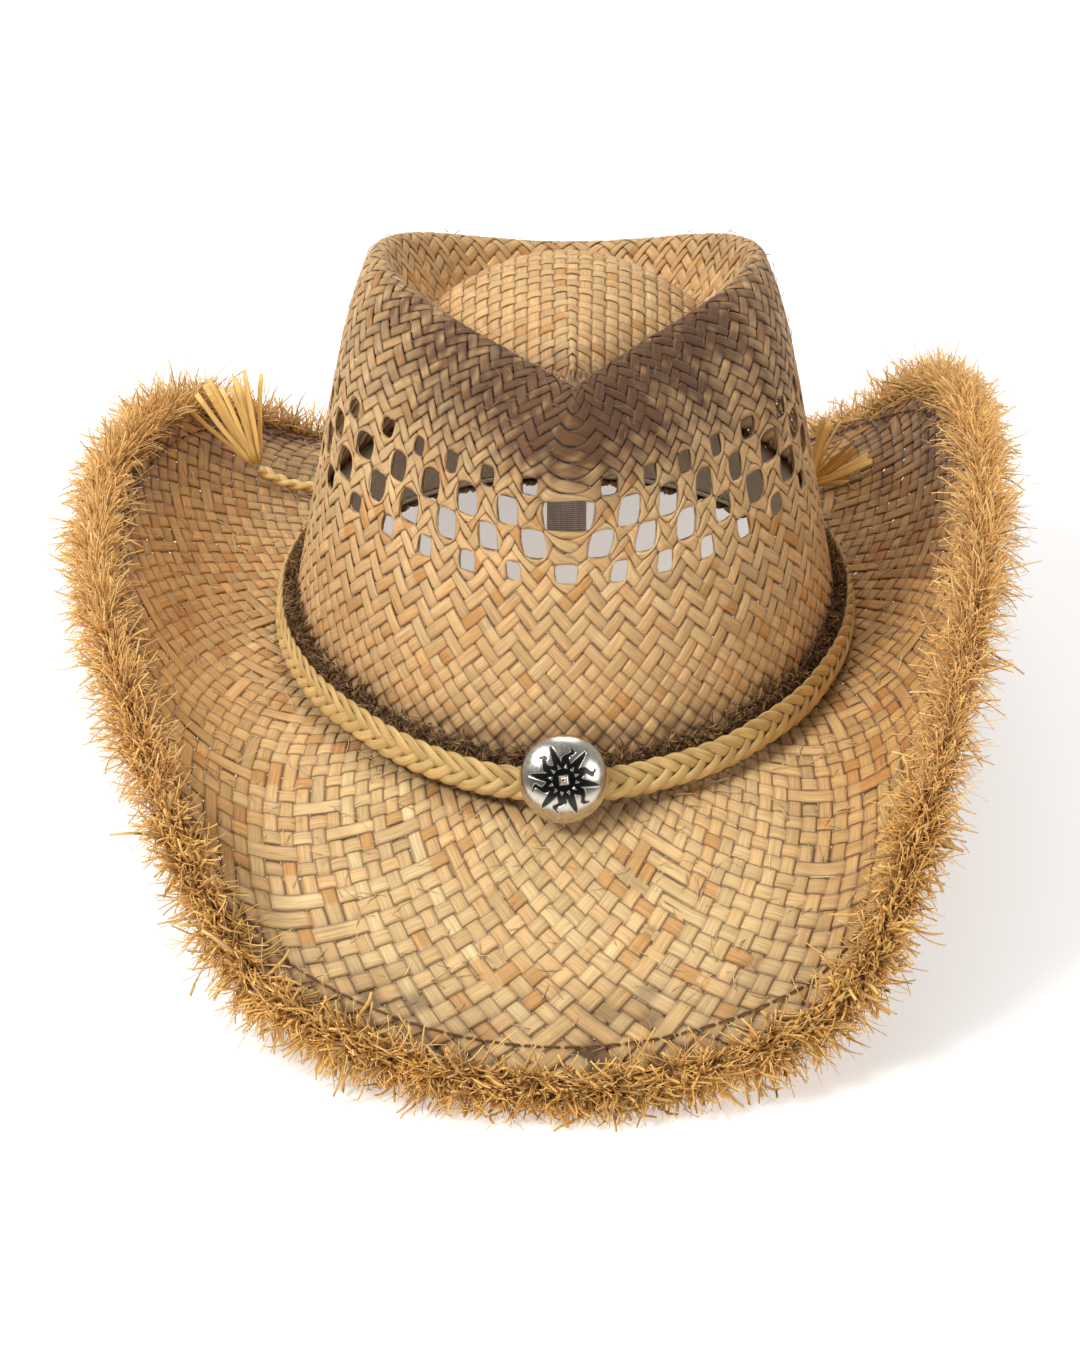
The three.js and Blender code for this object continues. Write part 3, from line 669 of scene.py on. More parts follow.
def open_vents(u, v):
    """Pushes the lattice away from the middle of each vent, so that the strands run round a hole."""
    height = (1 - np.exp(-np.clip(v - V_SHIFT, 0, 20) * TAPER * WALL_PITCH)) / TAPER
    pitch_u = 6.63 * (1 - TAPER * height)
    pitch_v = pitch_u * 0.93
    du = np.zeros_like(u)
    dv = np.zeros_like(v)
    active = (v > VENT_V - 4) & (v < VENT_V + 8.5)
    ua, va, pu, pv = u[active], v[active], pitch_u[active], pitch_v[active]
    sum_u, sum_v = np.zeros_like(ua), np.zeros_like(va)
    for row, (rise, turn, radius) in enumerate(VENT_ROWS):
        nearest = np.round((ua - turn) / 3)
        for extra in (-1, 0, 1):
            k = nearest + extra
            size = radius * (1 + vent_noise[row][np.mod(k, VENTS_ROUND).astype(int)])
            x = (ua - turn - 3 * k) * pu
            y = (va - VENT_V - rise) * pv
            r = np.maximum(np.hypot(x, y), 1e-6)
            push = ((r ** 3 + size ** 3) ** (1 / 3) - r) * np.exp(-(r / 9.5) ** 4)
            sum_u += x / r * push / pu
            sum_v += y / r * push / pv
    du[active], dv[active] = sum_u, sum_v
    return u + du, v + dv


def brim_pattern(i, j):
    """Mostly over two and under two, with stray cells where the weaver's count slips."""
    slip = np.sin(i * 12.9898 + j * 78.233) * 43758.5453
    slip = slip - np.floor(slip)
    return np.where(slip < 0.86, plain_weave(i, j), twill_weave(i, j))


def crown_pattern(i, j):
    level = (j - i) / 2
    return np.where(level < 6.5, plain_weave(i, j), twill_weave(i, j))


CROWN_SETBACK = 1.2                         # the crown's weave starts this far under the brim's
crown_base = wall_v(brim_middle(brim_phi, np.zeros(720))[:, 2] - JOIN_Z - CROWN_SETBACK)


def crown_keep(u, v):
    return (v < column_value(crown_end, u) - 0.4) & (v > column_value(crown_base, u))


def build_weave(name, surface, count, low, high, pattern, strip, colour_of, replaces,
                warp=None, keep=None, split=2):
    for family, tag in ((1, "a"), (-1, "b")):
        ribbons = weave_family(surface, family, count, low, high, pattern, strip, colour_of, warp, keep)
        for part in range(split):
            a, b = count * part // split, count * (part + 1) // split
            piece = [table[a:b] for table in ribbons]
            ribbon_piece(f"{name}_{tag}{part + 1}", piece, "hat", replaces, raffia)


build_weave("crown_weave", crown_at, CROWN_STRANDS, -1.0, 44, crown_pattern, (0.482, 0.27, 0.34),
            crown_colour, ("crown",), warp=open_vents, keep=crown_keep)
build_weave("brim_weave", brim_at, BRIM_STRANDS, -0.3, float(brim_v(1.0)), brim_pattern, (0.482, 0.3, 0.34),
            brim_colour, ("brim",))

# -------------------- tip of the crown: a straight square weave

TIP_PITCH = 3.9
TIP_COLUMNS, TIP_ROWS = 28, 39
TIP_LEFT, TIP_FRONT = -54.6, -70.0

# the crest's place and distance by its bearing from the tip's middle
crest_turn = np.linspace(-math.pi, math.pi, 1441)
crest_line = crest_point(crest_turn)
crest_bearing = np.unwrap(np.arctan2(crest_line[:, 0], TIP_MIDDLE - crest_line[:, 1]))
crest_away = np.hypot(crest_line[:, 0], crest_line[:, 1] - TIP_MIDDLE)


def tip_height(x, y):
    theta = np.arctan2(x, TIP_MIDDLE - y)
    theta = np.where(theta < crest_bearing[0], theta + TAU, theta)
    theta = np.where(theta > crest_bearing[-1], theta - TAU, theta)
    ring = np.hypot(x, y - TIP_MIDDLE) / np.interp(theta, crest_bearing, crest_away)
    return tip_point(np.interp(theta, crest_bearing, crest_turn), np.minimum(ring, 1.0))[..., 2], ring


def tip_at(p, q):
    x, y = TIP_LEFT + p * TIP_PITCH, TIP_FRONT + q * TIP_PITCH
    z, _ = tip_height(x, y)
    step = 0.8
    dx = (tip_height(x + step, y)[0] - tip_height(x - step, y)[0]) / (2 * step)
    dy = (tip_height(x, y + step)[0] - tip_height(x, y - step)[0]) / (2 * step)
    normal = np.stack([-dx, -dy, np.ones_like(dx)], axis=-1)
    normal /= np.linalg.norm(normal, axis=-1, keepdims=True)
    return np.stack([x, y, z], axis=-1) - normal * (STRAW / 2 + 0.15), normal


def tip_colour(points, height, own, run, u, v):
    colour = strand_tint(CROWN_PALE, len(own), height, own, run)
    x, y = points[..., 0], points[..., 1]
    _, ring = tip_height(x, y)
    # darker in the valley, mostly at the front, and over the right of the tip, through the same dark mix as the
    # spray
    front = smooth(-y, -8, 42)
    valley = smooth(ring, 0.52, 0.8) * (0.25 + 0.75 * front)
    speck = 0.5 + value_noise(points, 11, 21) * value_noise(points, 37, 22) * 2.4
    right = smooth(x, 8, 38) * (0.45 + 0.55 * front)
    return sprayed(colour, 0.7 * valley * speck + 0.62 * right * speck, height)


def build_tip():
    for family, count, tag in ((1, TIP_COLUMNS, "a"), (-1, TIP_ROWS, "b")):
        def surface(turn, v):
            u = turn * count
            return tip_at(u - v, u + v)

        def keep(turn, v):
            u = turn * count
            x, y = TIP_LEFT + (u - v) * TIP_PITCH, TIP_FRONT + (u + v) * TIP_PITCH
            return tip_height(x, y)[1] < 0.86
        reach = (TIP_COLUMNS + TIP_ROWS) / 2 + 1
        ribbons = weave_family(surface, family, count, -reach, reach, plain_weave, (0.485, 0.27, 0.4),
                               tip_colour, keep=keep)
        ribbon_piece(f"crown_tip_{tag}", ribbons, "hat", ("crown",), raffia)


build_tip()

# -------------------- hem under the edge of the brim

HEM_BELOW, HEM_WIDTH = 4.7, 12


def hem_at(u, v):
    points, normals = brim_at(u, v)
    return points - normals * HEM_BELOW, normals


build_weave("hem_weave", hem_at, BRIM_STRANDS, float(brim_v(1 - HEM_WIDTH / BRIM_FRONT)), float(brim_v(1.0)),
            twill_weave, (0.47, 0.2, 0.28), brim_colour, ("brim_hem",), split=1)

# -------------------- loose fibres

FIBRE_TAPER = 0.45


def unit(v):
    return v / np.maximum(np.linalg.norm(v, axis=-1, keepdims=True), 1e-9)


def fibres(name, roots, directions, lengths, widths, curl, colour, tip_colour, replaces,
           segments=6, thick=0.3, floor_z=None, wave=0.0):
    """Flat curling fibres with a three-sided section. curl bends each one, in radians over its length."""
    count = len(roots)
    steps = segments + 1
    path = np.zeros((count, steps, 3))
    path[:, 0] = roots
    heading = unit(directions)
    bend = unit(np.cross(heading, rng.normal(0, 1, (count, 3)))) * curl[:, None]
    headings = [heading]
    for k in range(segments):
        wobble = rng.normal(0, wave, (count, 3)) if wave else 0
        heading = unit(heading + bend / segments + wobble)
        path[:, k + 1] = path[:, k] + heading * (lengths / segments)[:, None]
        headings.append(heading)
    if floor_z is not None:
        limit = floor_z + rng.uniform(0, 1.2, (count, steps))
        path[..., 2] = np.where(path[..., 2] < limit, limit, path[..., 2])
    headings = np.stack(headings, axis=1)
    across = unit(np.cross(headings, unit(rng.normal(0, 1, (count, 1, 3)))))
    up = np.cross(across, headings)
    share = np.linspace(0, 1, steps)[None, :, None]
    half = widths[:, None, None] / 2 * (1 - FIBRE_TAPER * share ** 1.5)
    section = np.stack([path + across * half, path - across * half, path + up * thick], axis=2)
    t = share[..., None]
    tint = colour[:, None, None, :] * (1 - t) + tip_colour[:, None, None, :] * t
    tint = np.broadcast_to(tint, section.shape)
    strand = strand_place(section.shape, np.array([0.75, -0.75, 0.0]), share * lengths[:, None, None])
    ok = np.ones((count, segments), dtype=bool)
    ribbon_piece(name, (section, ok, tint, strand), "hat", replaces, raffia_loose)


FRINGE_TIP = linear(255, 206, 118)
FRINGE_TIP_DULL = linear(255, 212, 146)
# darker root colour: painted shadow of the hem over the fringe's roots
FRINGE_ROOT_SHADOW = linear(150, 108, 60)


def build_fringe(name, start, stop, count, dull):
    tufts = count // 9
    tuft = rng.integers(0, tufts, count)
    tuft_phi = np.radians(rng.uniform(start, stop, tufts))
    tuft_lean = rng.normal(0, 0.55, tufts)
    tuft_side = rng.normal(0, 0.45, tufts)
    phi = tuft_phi[tuft] + np.radians(rng.normal(0, 0.7, count))
    phi = np.clip(phi, math.radians(start + 0.2), math.radians(stop - 0.2))
    share = rng.uniform(0.955, 1.005, count)
    base, normal = brim_sheet.at(phi / TAU, share)
    ahead, _ = brim_sheet.at(phi / TAU, share - 0.02)
    out = unit(base - ahead)
    along = np.cross(normal, out)
    lean = tuft_lean[tuft] + rng.normal(0, 0.34, count)
    sway = tuft_side[tuft] * 1.6 + rng.normal(0, 0.34, count)
    sides = np.abs(np.sin(phi)) ** 3
    direction = (out * np.cos(lean)[:, None] + normal * (np.sin(lean) - 0.35 * sides)[:, None]
                 + along * sway[:, None])
    roots = base + normal * rng.uniform(-2.4, 1.2, count)[:, None]
    lengths = np.clip(rng.normal(11.0, 3.2, count), 4, 19)
    widths = np.clip(rng.gamma(5.0, 0.17, count), 0.35, 1.9) * (1 - 0.75 * dull)
    shade = 1.04 + 0.16 * dull + rng.normal(0, 0.14, (count, 1))
    dullness = np.clip(dull + rng.normal(0, 0.25, (count, 1)), 0, 1)
    tip = (FRINGE_TIP * (1 - dullness) + FRINGE_TIP_DULL * dullness) * shade
    # painted hem shadow at each fibre's root, fading towards its tip
    root = lerp(FRINGE_ROOT_SHADOW, tip, rng.uniform(0.1, 0.7, (count, 1)))
    curl = np.clip(rng.normal(1.5, 1.0, count), 0, 4.0)
    node = name.split("_fray")[0]
    fibres(name, roots, direction, lengths, widths, curl, root, tip, (node,),
           floor_z=0.4, wave=0.12, thick=0.13)


for side, start, stop, dull in (("front", -48, 48, 0.1), ("right", 48, 132, 0.55), ("back", 132, 228, 0.5),
                                ("left", 228, 312, 0.5)):
    for part in ("a", "b"):
        build_fringe(f"fringe_{side}_fray{part}", start, stop, 3600, dull)


def follow(phi):
    return brim_middle(phi, np.zeros_like(phi))[..., 2] - JOIN_Z


def build_join_knots():
    count = 3000
    phi = rng.uniform(0, TAU, count)
    rise = rng.uniform(11.0, 15.5, count) + rng.exponential(0.7, count)
    height = follow(phi) + rise
    roots = wall_point(phi, height, rng.uniform(-0.2, 0.5, count))
    out = unit(wall_point(phi, height, 1.0) - wall_point(phi, height, 0.0))
    along = np.stack([np.cos(phi), np.sin(phi), np.zeros_like(phi)], axis=-1)
    direction = out * rng.uniform(0.15, 1.0, (count, 1)) + along * rng.normal(0, 0.8, (count, 1))
    direction[:, 2] += rng.normal(0.15, 0.6, count)
    dark = linear(78, 50, 24)
    mid = linear(168, 122, 68)
    mix = rng.uniform(0, 1, (count, 1)) ** 2
    root = lerp(dark, mid, mix * 0.6)
    tip = lerp(dark, linear(205, 160, 98), rng.uniform(0, 1, (count, 1)) ** 1.2)
    fibres("join_knots_fray", roots, direction, rng.uniform(2.2, 5.0, count), rng.uniform(0.35, 0.8, count),
           rng.uniform(1.0, 3.6, count), root, tip, ("join_knots",), segments=5, thick=0.2)


build_join_knots()


def build_stray(name, surface_points, normals, tangents, lengths, widths, colour, lift=0.35):
    count = len(surface_points)
    direction = tangents + normals * rng.uniform(0.05, lift, (count, 1))
    shade = 1 + rng.normal(0, 0.15, (count, 1))
    fibres(name, surface_points + normals * 0.6, direction, lengths, widths, rng.uniform(0.1, 1.2, count),
           colour * shade * 0.8, colour * shade, (), segments=4, thick=0.15)


def build_strays():
    count = 900
    u, share = rng.uniform(0, 1, count), rng.uniform(0.05, 0.98, count)
    points, normals = brim_sheet.at(u, share)
    rng.uniform(0, TAU, count)              # a spare draw, which keeps the later ones as they are
    side = unit(np.cross(normals, rng.normal(0, 1, (count, 3))))
    build_stray("brim_strays", points, normals, side, rng.uniform(3, 9, count), rng.uniform(0.2, 0.55, count),
                linear(236, 208, 160))
    count = 220
    u = rng.uniform(-0.25, 0.25, count) * rng.uniform(0.4, 2, count)
    v = column_value(crown_crest, u) + rng.normal(-1.5, 2.2, count)
    points, normals = crown_at(u, v)
    side = unit(np.cross(normals, rng.normal(0, 1, (count, 3))))
    build_stray("ridge_strays", points + normals * 0.6, normals, side, rng.uniform(1.5, 4, count),
                rng.uniform(0.15, 0.35, count), linear(158, 124, 84), 0.3)


build_strays()

# -------------------- strips along any path

ROUND8 = np.array([(math.cos(a), math.sin(a)) for a in np.arange(8) / 8 * TAU])


def strips(path, facing, width, thick):
    """Rounded strips: path is (strands, steps, 3), and the flat of each strip looks along facing."""
    heading = unit(np.gradient(path, axis=1))
    across = unit(np.cross(facing, heading))
    up = np.cross(heading, across)
    width = np.broadcast_to(width, path.shape[:2])[..., None, None]
    thick = np.broadcast_to(thick, path.shape[:2])[..., None, None]
    c, s = ROUND8[:, 0], ROUND8[:, 1]
    flat = np.sign(c) * np.abs(c) ** 0.75
    return (path[:, :, None, :] + across[:, :, None, :] * flat[None, None, :, None] * width / 2
            + up[:, :, None, :] * s[None, None, :, None] * thick / 2)


def strip_piece(name, section, colour, body, replaces, spacing=1.0):
    count, steps = section.shape[:2]
    strand = strand_place(section.shape, ROUND8[:, 0] * 1.7, np.arange(steps)[:, None] * spacing)
    ok = np.ones((count, steps - 1), dtype=bool)
    ribbons = (section, ok, np.broadcast_to(colour, section.shape), strand)
    return ribbon_piece(name, ribbons, body, replaces, raffia_band)


BAND_COLOUR = linear(238, 205, 138)
TASSEL_COLOUR = linear(255, 214, 132)
BAND_SHADOW = linear(176, 128, 62)


def band_centre(phi, y=0.0, out=0.0):
    return wall_point(phi, 9 + follow(phi) + y, 2.2 + 1.7 + out)


def build_braid():
    strands, periods, steps = 5, 21, 21 * 28
    s = np.arange(steps + 1) / steps
    k = np.arange(strands)[:, None]
    phase = s[None, :] * periods + k / strands
    tri = 2 * np.abs(2 * (phase % 1) - 1) - 1
    y = np.sin(tri * math.pi / 2 * 0.92) / math.sin(math.pi / 2 * 0.92)
    up_going = (phase % 1) > 0.5
    h = np.where(up_going, -1, 1) * np.sin(math.pi * y)
    phi = np.broadcast_to(s * TAU, phase.shape)
    drift = 0.5 * np.sin(phi * 7 + 1) + 0.35 * np.sin(phi * 17 + 2)
    heights = y * 3.7 + drift * 0.5
    path = band_centre(phi, heights, h * 0.62 + 0.1)
    out = unit(band_centre(phi, heights, 1.0) - band_centre(phi, heights, 0.0))
    section = strips(path, out, 3.25 + 0.25 * np.sin(phase * 3 + k), 1.15)
    level = smooth(h, -1.0, 0.4)[:, :, None, None]
    shade = (1 + rng.normal(0, 0.05, (strands, 1, 1, 1)))
    patch = 1 + 0.07 * np.sin(phase * 12.9 + k * 2)[:, :, None, None]
    # painted shade: each strip is darker at its rounded edges, and BAND_SHADOW paints the shade where a strand
    # dives under
    edge = lerp(1.0, 0.75, np.abs(ROUND8[:, 0]) ** 4)[None, None, :, None]
    colour = (BAND_SHADOW * (1 - level) + BAND_COLOUR * level) * shade * patch * edge
    strip_piece("hatband_plait", section, colour, "hatband", ("hatband_braid",))


build_braid()

# Loose ends of the plait, along the same routes as their solids in the CAD part.
TAIL_LEFT = [(-7.6, 114.2, 50), (-14, 115.2, 47.6), (-21, 115.8, 45), (-29, 115, 43.8), (-37, 113, 43.9),
             (-45, 110, 44.4), (-53, 105.6, 45.1), (-60.5, 100, 45.9), (-68, 93.6, 46.6),
             (-75.5, 87.2, 47.3), (-83, 82.4, 48.4), (-89.5, 81.4, 49.9), (-95, 82.2, 51.9),
             (-99.6, 83.6, 54.2)]
TAIL_RIGHT = [(7.6, 114.2, 50), (14, 115, 47.6), (21, 115.2, 45), (29, 114, 43.9), (37, 111.6, 44.1),
              (45, 108.2, 44.7), (52.5, 103.6, 45.4), (59.5, 97.6, 46.2), (66, 91.2, 46.9),
              (72.5, 86.4, 47.8), (78.5, 84.4, 49.4)]


def smooth_route(points, per_span=10):
    p = np.array(points, dtype=float)
    p = np.concatenate([[2 * p[0] - p[1]], p, [2 * p[-1] - p[-2]]])
    out = []
    for k in range(1, len(p) - 2):
        for t in np.arange(per_span) / per_span:
            a, b, c, d = p[k - 1], p[k], p[k + 1], p[k + 2]
            out.append(0.5 * (2 * b + (c - a) * t + (2 * a - 5 * b + 4 * c - d) * t ** 2
                              + (3 * b - a - 3 * c + d) * t ** 3))
    out.append(p[-2])
    return np.array(out)


PLAIT_REPEAT = 15


def build_tail(name, route, node, tassel_node, tassel):
    path = smooth_route(route)
    heading = unit(np.gradient(path, axis=0))
    side = unit(np.cross(heading, [0, 0, 1.0]))
    top = np.cross(side, heading)
    k = np.arange(3)[:, None]
    turn = distances(path)[None, :] / PLAIT_REPEAT * TAU + k / 3 * TAU
    sway, lift = 1.15 * np.sin(turn), 0.75 * np.sin(2 * turn)
    centre = path[None] + side[None] * sway[..., None] + top[None] * lift[..., None]
    section = strips(centre, np.broadcast_to(top, centre.shape), 2.5, 1.9)
    level = smooth(lift, -0.75, 0.5)[:, :, None, None]
    colour = lerp(BAND_SHADOW, BAND_COLOUR, level) * (1 + rng.normal(0, 0.05, (3, 1, 1, 1)))
    tail = strip_piece(name, section, colour, "hatband", (node,), spacing=1.2)
    fan = build_tassel(tassel_node + "_fan", tassel_node, *tassel)


def build_tassel(name, node, start, end, half_angle, strands, length):
    start, end = np.array(start, float), np.array(end, float)
    axis = unit(end - start)
    view = unit(np.array([0, -1, 0.56]))
    wide = unit(np.cross(axis, view))
    deep = np.cross(wide, axis)
    steps = 8
    t = np.linspace(0, 1, steps)[None, :, None]
    spread = np.linspace(-1, 1, strands) + rng.normal(0, 0.12, strands)
    lift = rng.uniform(-0.5, 0.5, strands)
    reach = length * rng.uniform(0.82, 1.08, strands)
    first = start + wide * (spread * 1.3)[:, None] + deep * (lift * 1.6)[:, None]
    angle = spread * half_angle
    direction = axis * np.cos(angle)[:, None] + wide * np.sin(angle)[:, None] + deep * (lift * 0.5)[:, None]
    path = first[:, None, :] + direction[:, None, :] * reach[:, None, None] * t
    path = path + wide * (np.sin(t * 2.6 + spread[:, None, None] * 3) * 0.9 * t)
    twist = rng.normal(0, 0.5, (strands, 1, 1)) + rng.normal(0, 0.6, (strands, 1, 1)) * t
    facing = unit(view * np.cos(twist) + wide * np.sin(twist))
    section = strips(path, facing, rng.uniform(1.5, 2.3, (strands, 1)), 0.32)
    shade = 1 + rng.normal(0, 0.10, (strands, 1, 1, 1))
    colour = TASSEL_COLOUR * shade * (0.95 + 0.25 * t[..., None])
    return strip_piece(name, section, colour, "hatband", (node,), spacing=3.0)


build_tail("tail_left_plait", TAIL_LEFT, "tail_left", "tassel_left",
           ((-101, 84.2, 55.8), (-113.5, 98, 80), 0.42, 12, 31))
build_tail("tail_right_plait", TAIL_RIGHT, "tail_right", "tassel_right",
           ((80.2, 84.6, 50.4), (94.6, 89.6, 62), 0.66, 14, 20))


def build_knot():
    centre = np.array([0, 113.5, 50.5])
    a = np.linspace(0, 1, 60) * TAU
    paths = []
    for tilt, shift in ((0.0, -2.6), (0.25, 0.0), (-0.3, 2.6), (1.2, 0.0)):
        ring = np.stack([shift + 0.5 * np.sin(a * 2), 2.3 * np.cos(a), 4.4 * np.sin(a)], axis=-1)
        c, s = math.cos(tilt), math.sin(tilt)
        ring = np.stack([ring[:, 0] * c - ring[:, 2] * s, ring[:, 1] * (1.1 if tilt else 1.0),
                         ring[:, 0] * s + ring[:, 2] * c], axis=-1)
        paths.append(centre + ring)
    path = np.stack(paths)
    section = strips(path, unit(path - centre), 3.1, 1.2)
    strip_piece("hatband_knot_wraps", section, BAND_COLOUR * 0.92, "hatband",
                ("hatband_knot",))


build_knot()

# -------------------- concho

TILT = math.radians(27)
LEAN = math.atan(TAPER * (HALF_L + STRAW))
CONCHO_R = 25 / 2
FACE_OUT = np.array([0, -math.cos(TILT), math.sin(TILT)])
FACE_UP = np.array([0, math.sin(TILT), math.cos(TILT)])
FACE_RIGHT = np.array([1.0, 0, 0])
PLAIT_THICK, CONCHO_GAP, CONCHO_RISE = 3.4, 3.5, 3.6
concho_out = -(PLAIT_THICK / 2 + CONCHO_GAP)
FACE_CENTRE = band_centre(np.array(0.0)) + np.array(
    [0, concho_out * math.cos(LEAN) + CONCHO_RISE * math.sin(LEAN),
     -concho_out * math.sin(LEAN) + CONCHO_RISE * math.cos(LEAN)])
RAYS = 12
BURST_TURN = math.radians(-8)


def burst(radius, angle):
    """How far inside the black sunburst, and inside the small teeth, a point is: above 0 is in."""
    step = TAU / RAYS
    value = np.maximum(3.5 - radius, 0.0) * 2 - 0.25
    value = np.maximum(value, 1.35 - np.abs(radius - 4.25) * 1.5)
    for k in range(RAYS):
        wavy = k % 2 == 1
        reach = 9.3 if wavy else 9.9
        bend = 0.17 * np.sin((radius - 4.5) * 1.25) * np.clip((radius - 4.5) / 3, 0, 1) if wavy else 0.0
        turn = np.angle(np.exp(1j * (angle - k * step - BURST_TURN - bend)))
        share = np.clip((radius - 4.0) / (reach - 4.0), 0, 1)
        half = (1.42 if wavy else 1.32) * (1 - share) ** 0.7 + 0.14 * (share < 1)
        ray = np.where((radius > 3.8) & (radius < reach), half - np.abs(turn) * radius, -1.0)
        value = np.maximum(value, ray)
    turn = np.angle(np.exp(1j * RAYS * (angle - BURST_TURN))) / RAYS
    point = 0.62 * np.clip((4.75 - radius) / 1.5, 0, 1) - np.abs(turn) * radius
    tooth = np.where((radius > 3.3) & (radius < 4.75), point, -1.0)
    return value, tooth


def face_points(radius, angle, height):
    return (FACE_CENTRE + radius[..., None] * (np.cos(angle)[..., None] * FACE_RIGHT
                                               + np.sin(angle)[..., None] * FACE_UP)
            + height[..., None] * FACE_OUT)


def build_concho():
    rings = np.concatenate([[0.02], np.linspace(0.35, CONCHO_R, 92)])
    turns = np.arange(300) / 300 * TAU
    r, a = np.meshgrid(rings, turns)
    black, tooth = burst(r, a)
    square = np.maximum(np.abs(r * np.cos(a - 0.12)), np.abs(r * np.sin(a - 0.12)))
    stud = smooth(1.45 - square, 0, 0.25)
    mask = smooth(black, -0.06, 0.10) * (1 - smooth(tooth, 0.0, 0.12)) * (1 - stud)
    dome = 1.2 + 4.4 * np.clip(1 - (r / CONCHO_R) ** 2, 0, 1) ** 0.7
    height = dome - 0.34 * mask + 0.22 * smooth(tooth, 0, 0.2)
    height = height + stud * (0.55 + 0.5 * smooth(1.15 - square, 0, 1.0))
    back_rings = np.array([CONCHO_R + 0.06, CONCHO_R - 0.1, CONCHO_R - 0.9, CONCHO_R - 2.0, 0.02])
    back_height = np.array([0.75, 0.2, 0.0, 0.35, 1.1])
    rb, ab = np.meshgrid(back_rings, turns)
    back = face_points(rb, ab, np.broadcast_to(back_height, rb.shape))
    grid = np.concatenate([face_points(r, a, height), back], axis=1)
    fill = np.concatenate([mask, np.zeros_like(rb)], axis=1)
    n, m = grid.shape[:2]
    middles = [np.arange(n)[None, :] * m, np.arange(n)[None, ::-1] * m + m - 1]
    fill = fill.reshape(-1)
    colour = lerp(linear(214, 208, 196), linear(14, 13, 13), fill[:, None])
    strand = np.stack([fill, fill, fill], axis=-1)
    look = Nodes("concho_silver", 0.2, metallic=1.0)
    worn = look.noise(look.object_place(), (900, 900, 900), 4.0)
    tarnish = look.ramp(worn, [(0.3, (0.8, 0.79, 0.76)), (0.6, (1, 1, 1))])
    look.link(look.multiply(look.attribute("tint", "Color"), tarnish), look.shader.inputs["Base Color"])
    inverse = look.add("ShaderNodeMath", operation="SUBTRACT")
    inverse.inputs[0].default_value = 1.0
    look.link(look.attribute("strand", "Fac"), inverse.inputs[1])
    look.link(inverse.outputs[0], look.shader.inputs["Metallic"])
    look.vary_roughness(worn, 0.13, 0.3)
    make_mesh("concho_face", grid.reshape(-1, 3), [grid_faces(n, m), *middles], "concho",
              ("concho_dome", "concho_sunburst", "concho_stud"), look.material, colour, strand)


build_concho()

# -------------------- sweatband, stitches and hidden metal


def cloth_material(name, colour, thread):
    """Plain woven tape: crossed threads in the colour and the bump, from object coordinates."""
    m = Nodes(name, 0.9, sheen=0.25)
    place = m.object_place()
    across = m.add("ShaderNodeTexWave", wave_type="BANDS", bands_direction="Z")
    across.inputs["Scale"].default_value = thread
    across.inputs["Distortion"].default_value = 1.2
    m.link(place, across.inputs["Vector"])
    upright = m.noise(place, (1100, 1100, 90), 2.0)
    blotch = m.noise(place, (40, 40, 40), 3.0)
    low, high = tuple(np.array(colour) * 0.7), tuple(np.minimum(np.array(colour) * 1.2, 1))
    threads = m.ramp(across.outputs["Fac"], [(0.2, low), (0.8, high)])
    shade = m.ramp(upright, [(0.3, (0.75, 0.75, 0.75)), (0.7, (1.1, 1.1, 1.1))])
    worn = m.ramp(blotch, [(0.3, (0.85, 0.83, 0.8)), (0.7, (1.05, 1.05, 1.05))])
    m.link(m.multiply(m.multiply(threads, shade), worn), m.shader.inputs["Base Color"])
    m.bump(across.outputs["Fac"], 0.5, 0.0003)
    return m.material


def metal_material(name, colour, roughness):
    m = Nodes(name, roughness, metallic=1.0)
    wear = m.noise(m.object_place(), (300, 300, 300), 4.0)
    low, high = tuple(np.array(colour) * 0.75), tuple(colour)
    m.link(m.ramp(wear, [(0.35, low), (0.65, high)]), m.shader.inputs["Base Color"])
    m.vary_roughness(wear, roughness * 0.7, min(roughness * 1.5, 1))
    return m.material


def finish_node(name, material):
    for slot_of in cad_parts[name].material_slots:
        slot_of.material = material


finish_node("sweatband_label", cloth_material("label_tape", (0.36, 0.28, 0.23), 420))
finish_node("brim_wire", metal_material("wire", (0.5, 0.5, 0.5), 0.4))
finish_node("concho_loop", metal_material("plated", (0.6, 0.58, 0.53), 0.3))


SWEATBAND_HEIGHT = 32


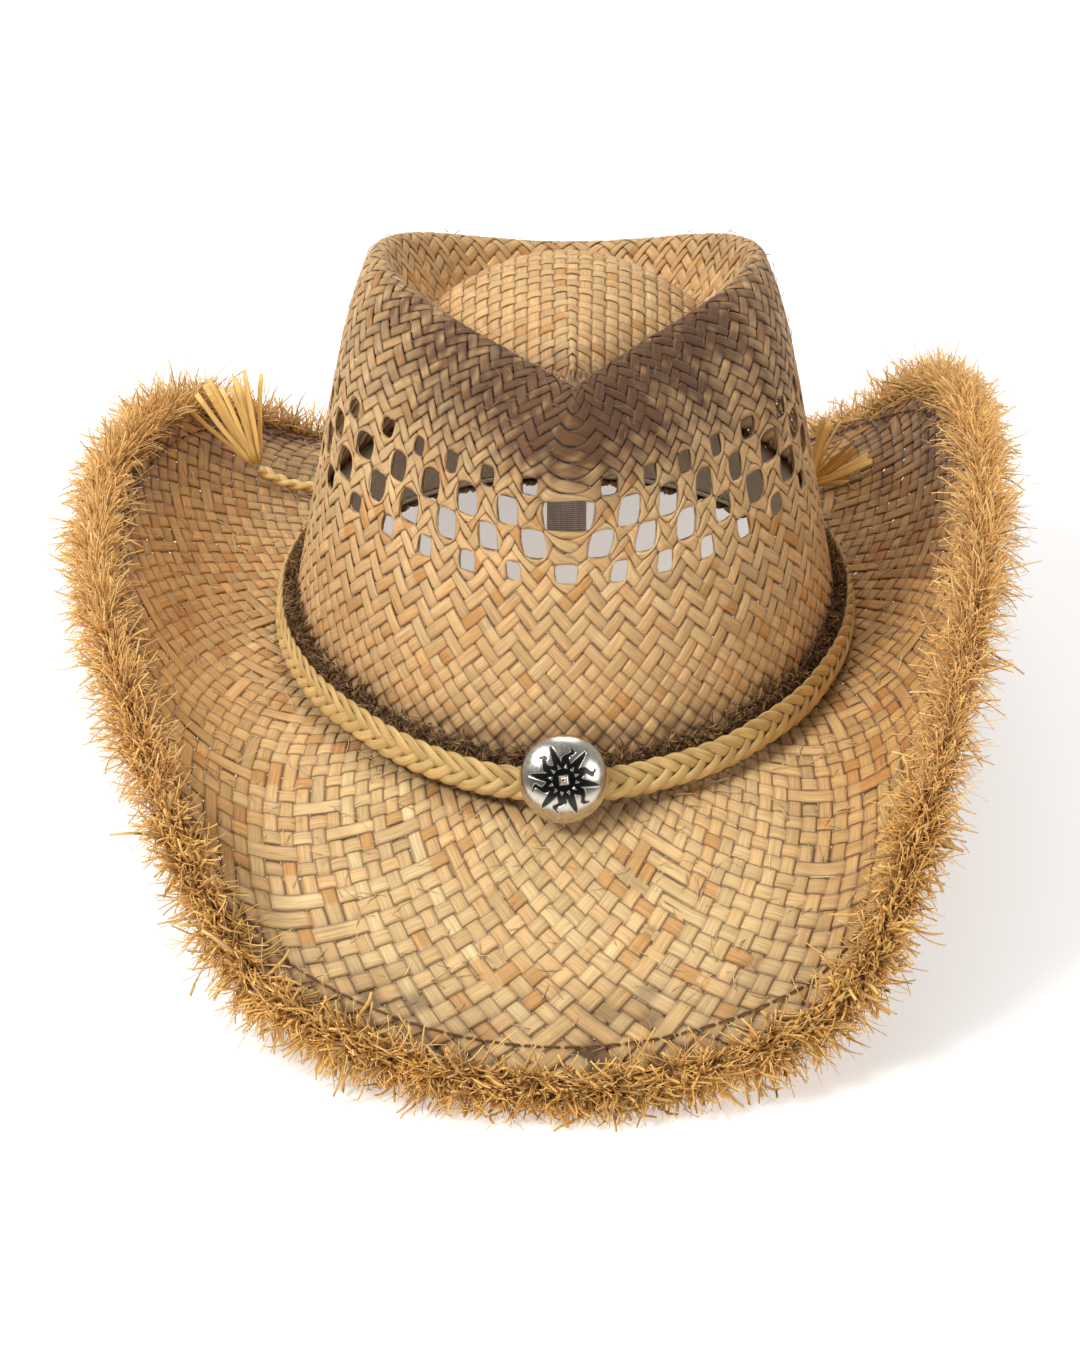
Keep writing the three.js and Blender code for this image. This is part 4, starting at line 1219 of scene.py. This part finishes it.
def build_sweatband():
    columns, rows = 240, 9
    phi = np.arange(columns) / columns * TAU
    outside, inside = [], []
    for share in np.linspace(0, 1, rows):
        rise = follow(phi) + 2 + SWEATBAND_HEIGHT * share
        ripple = (0.25 * np.sin(phi * 9 + 1) + 0.2 * np.sin(phi * 23)) * share ** 2
        outside.append(wall_point(phi, rise, -2.5 - 0.7 * share + ripple))
        inside.append(wall_point(phi, rise, -3.5 - 0.7 * share + ripple))
    loop = np.stack(outside + inside[::-1], axis=1)
    faces = grid_faces(*loop.shape[:2], closed=True)[:, [0, 3, 2, 1]]
    band = make_mesh("sweatband_tape", loop.reshape(-1, 3), [faces], "hat", ("sweatband",),
                     cloth_material("cotton_tape", (0.34, 0.25, 0.16), 380))
    line = wall_point(phi, follow(phi) + 18, -3.0)


build_sweatband()


def stitch_row(name, points, headings, ups, length, width, colour, node):
    """Short raised stitches, each a small curved thread."""
    steps = 6
    t = np.linspace(-0.5, 0.5, steps)
    path = (points[:, None, :] + headings[:, None, :] * (t * length)[None, :, None]
            + ups[:, None, :] * (np.cos(t * math.pi) * 0.45)[None, :, None])
    section = strips(path, np.broadcast_to(ups[:, None, :], path.shape), width, width)
    strip_piece(name, section, colour, "hat", (node,))


def build_stitches():
    count = 176
    u = (np.arange(count) + 0.5) / count
    share = np.full(count, 1 - 11.6 / BRIM_FRONT)
    points, normals = brim_sheet.at(u, share)
    ahead, _ = brim_sheet.at(u + 0.001, share)
    heading = unit(ahead - points)
    stitch_row("hem_stitches", points + normals * 0.95, heading, normals, 4.3, 0.7, linear(122, 86, 48),
               "hem_stitching")
    count = 150
    phi = (np.arange(count) + 0.5) / count * TAU
    rise = follow(phi) + 3.8
    points = wall_point(phi, rise, -3.7)
    inward = unit(wall_point(phi, rise, -1.0) - wall_point(phi, rise, 0.0))
    along = np.stack([np.cos(phi), np.sin(phi), np.zeros_like(phi)], axis=-1)
    stitch_row("sweatband_stitches", points, unit(along), inward, 2.8, 0.6, linear(214, 196, 160),
               "sweatband_stitching")


build_stitches()

# -------------------- floor

floor = bpy.data.objects.new("floor", bpy.data.meshes.new("floor"))
FLOOR_REACH, FLOOR_Z = 6, -0.0004
corners = [(x * FLOOR_REACH, y * FLOOR_REACH, FLOOR_Z) for x, y in ((-1, -1), (1, -1), (1, 1), (-1, 1))]
floor.data.from_pydata(corners, [], [(0, 1, 2, 3)])
bpy.context.collection.objects.link(floor)
floor_look = Nodes("floor", 0.85)
floor_look.shader.inputs["Base Color"].default_value = (0.8, 0.8, 0.8, 1)
floor_look.shader.inputs["Emission Color"].default_value = (1.0, 0.975, 0.95, 1)
floor_look.shader.inputs["Emission Strength"].default_value = 0.45
floor.data.materials.append(floor_look.material)
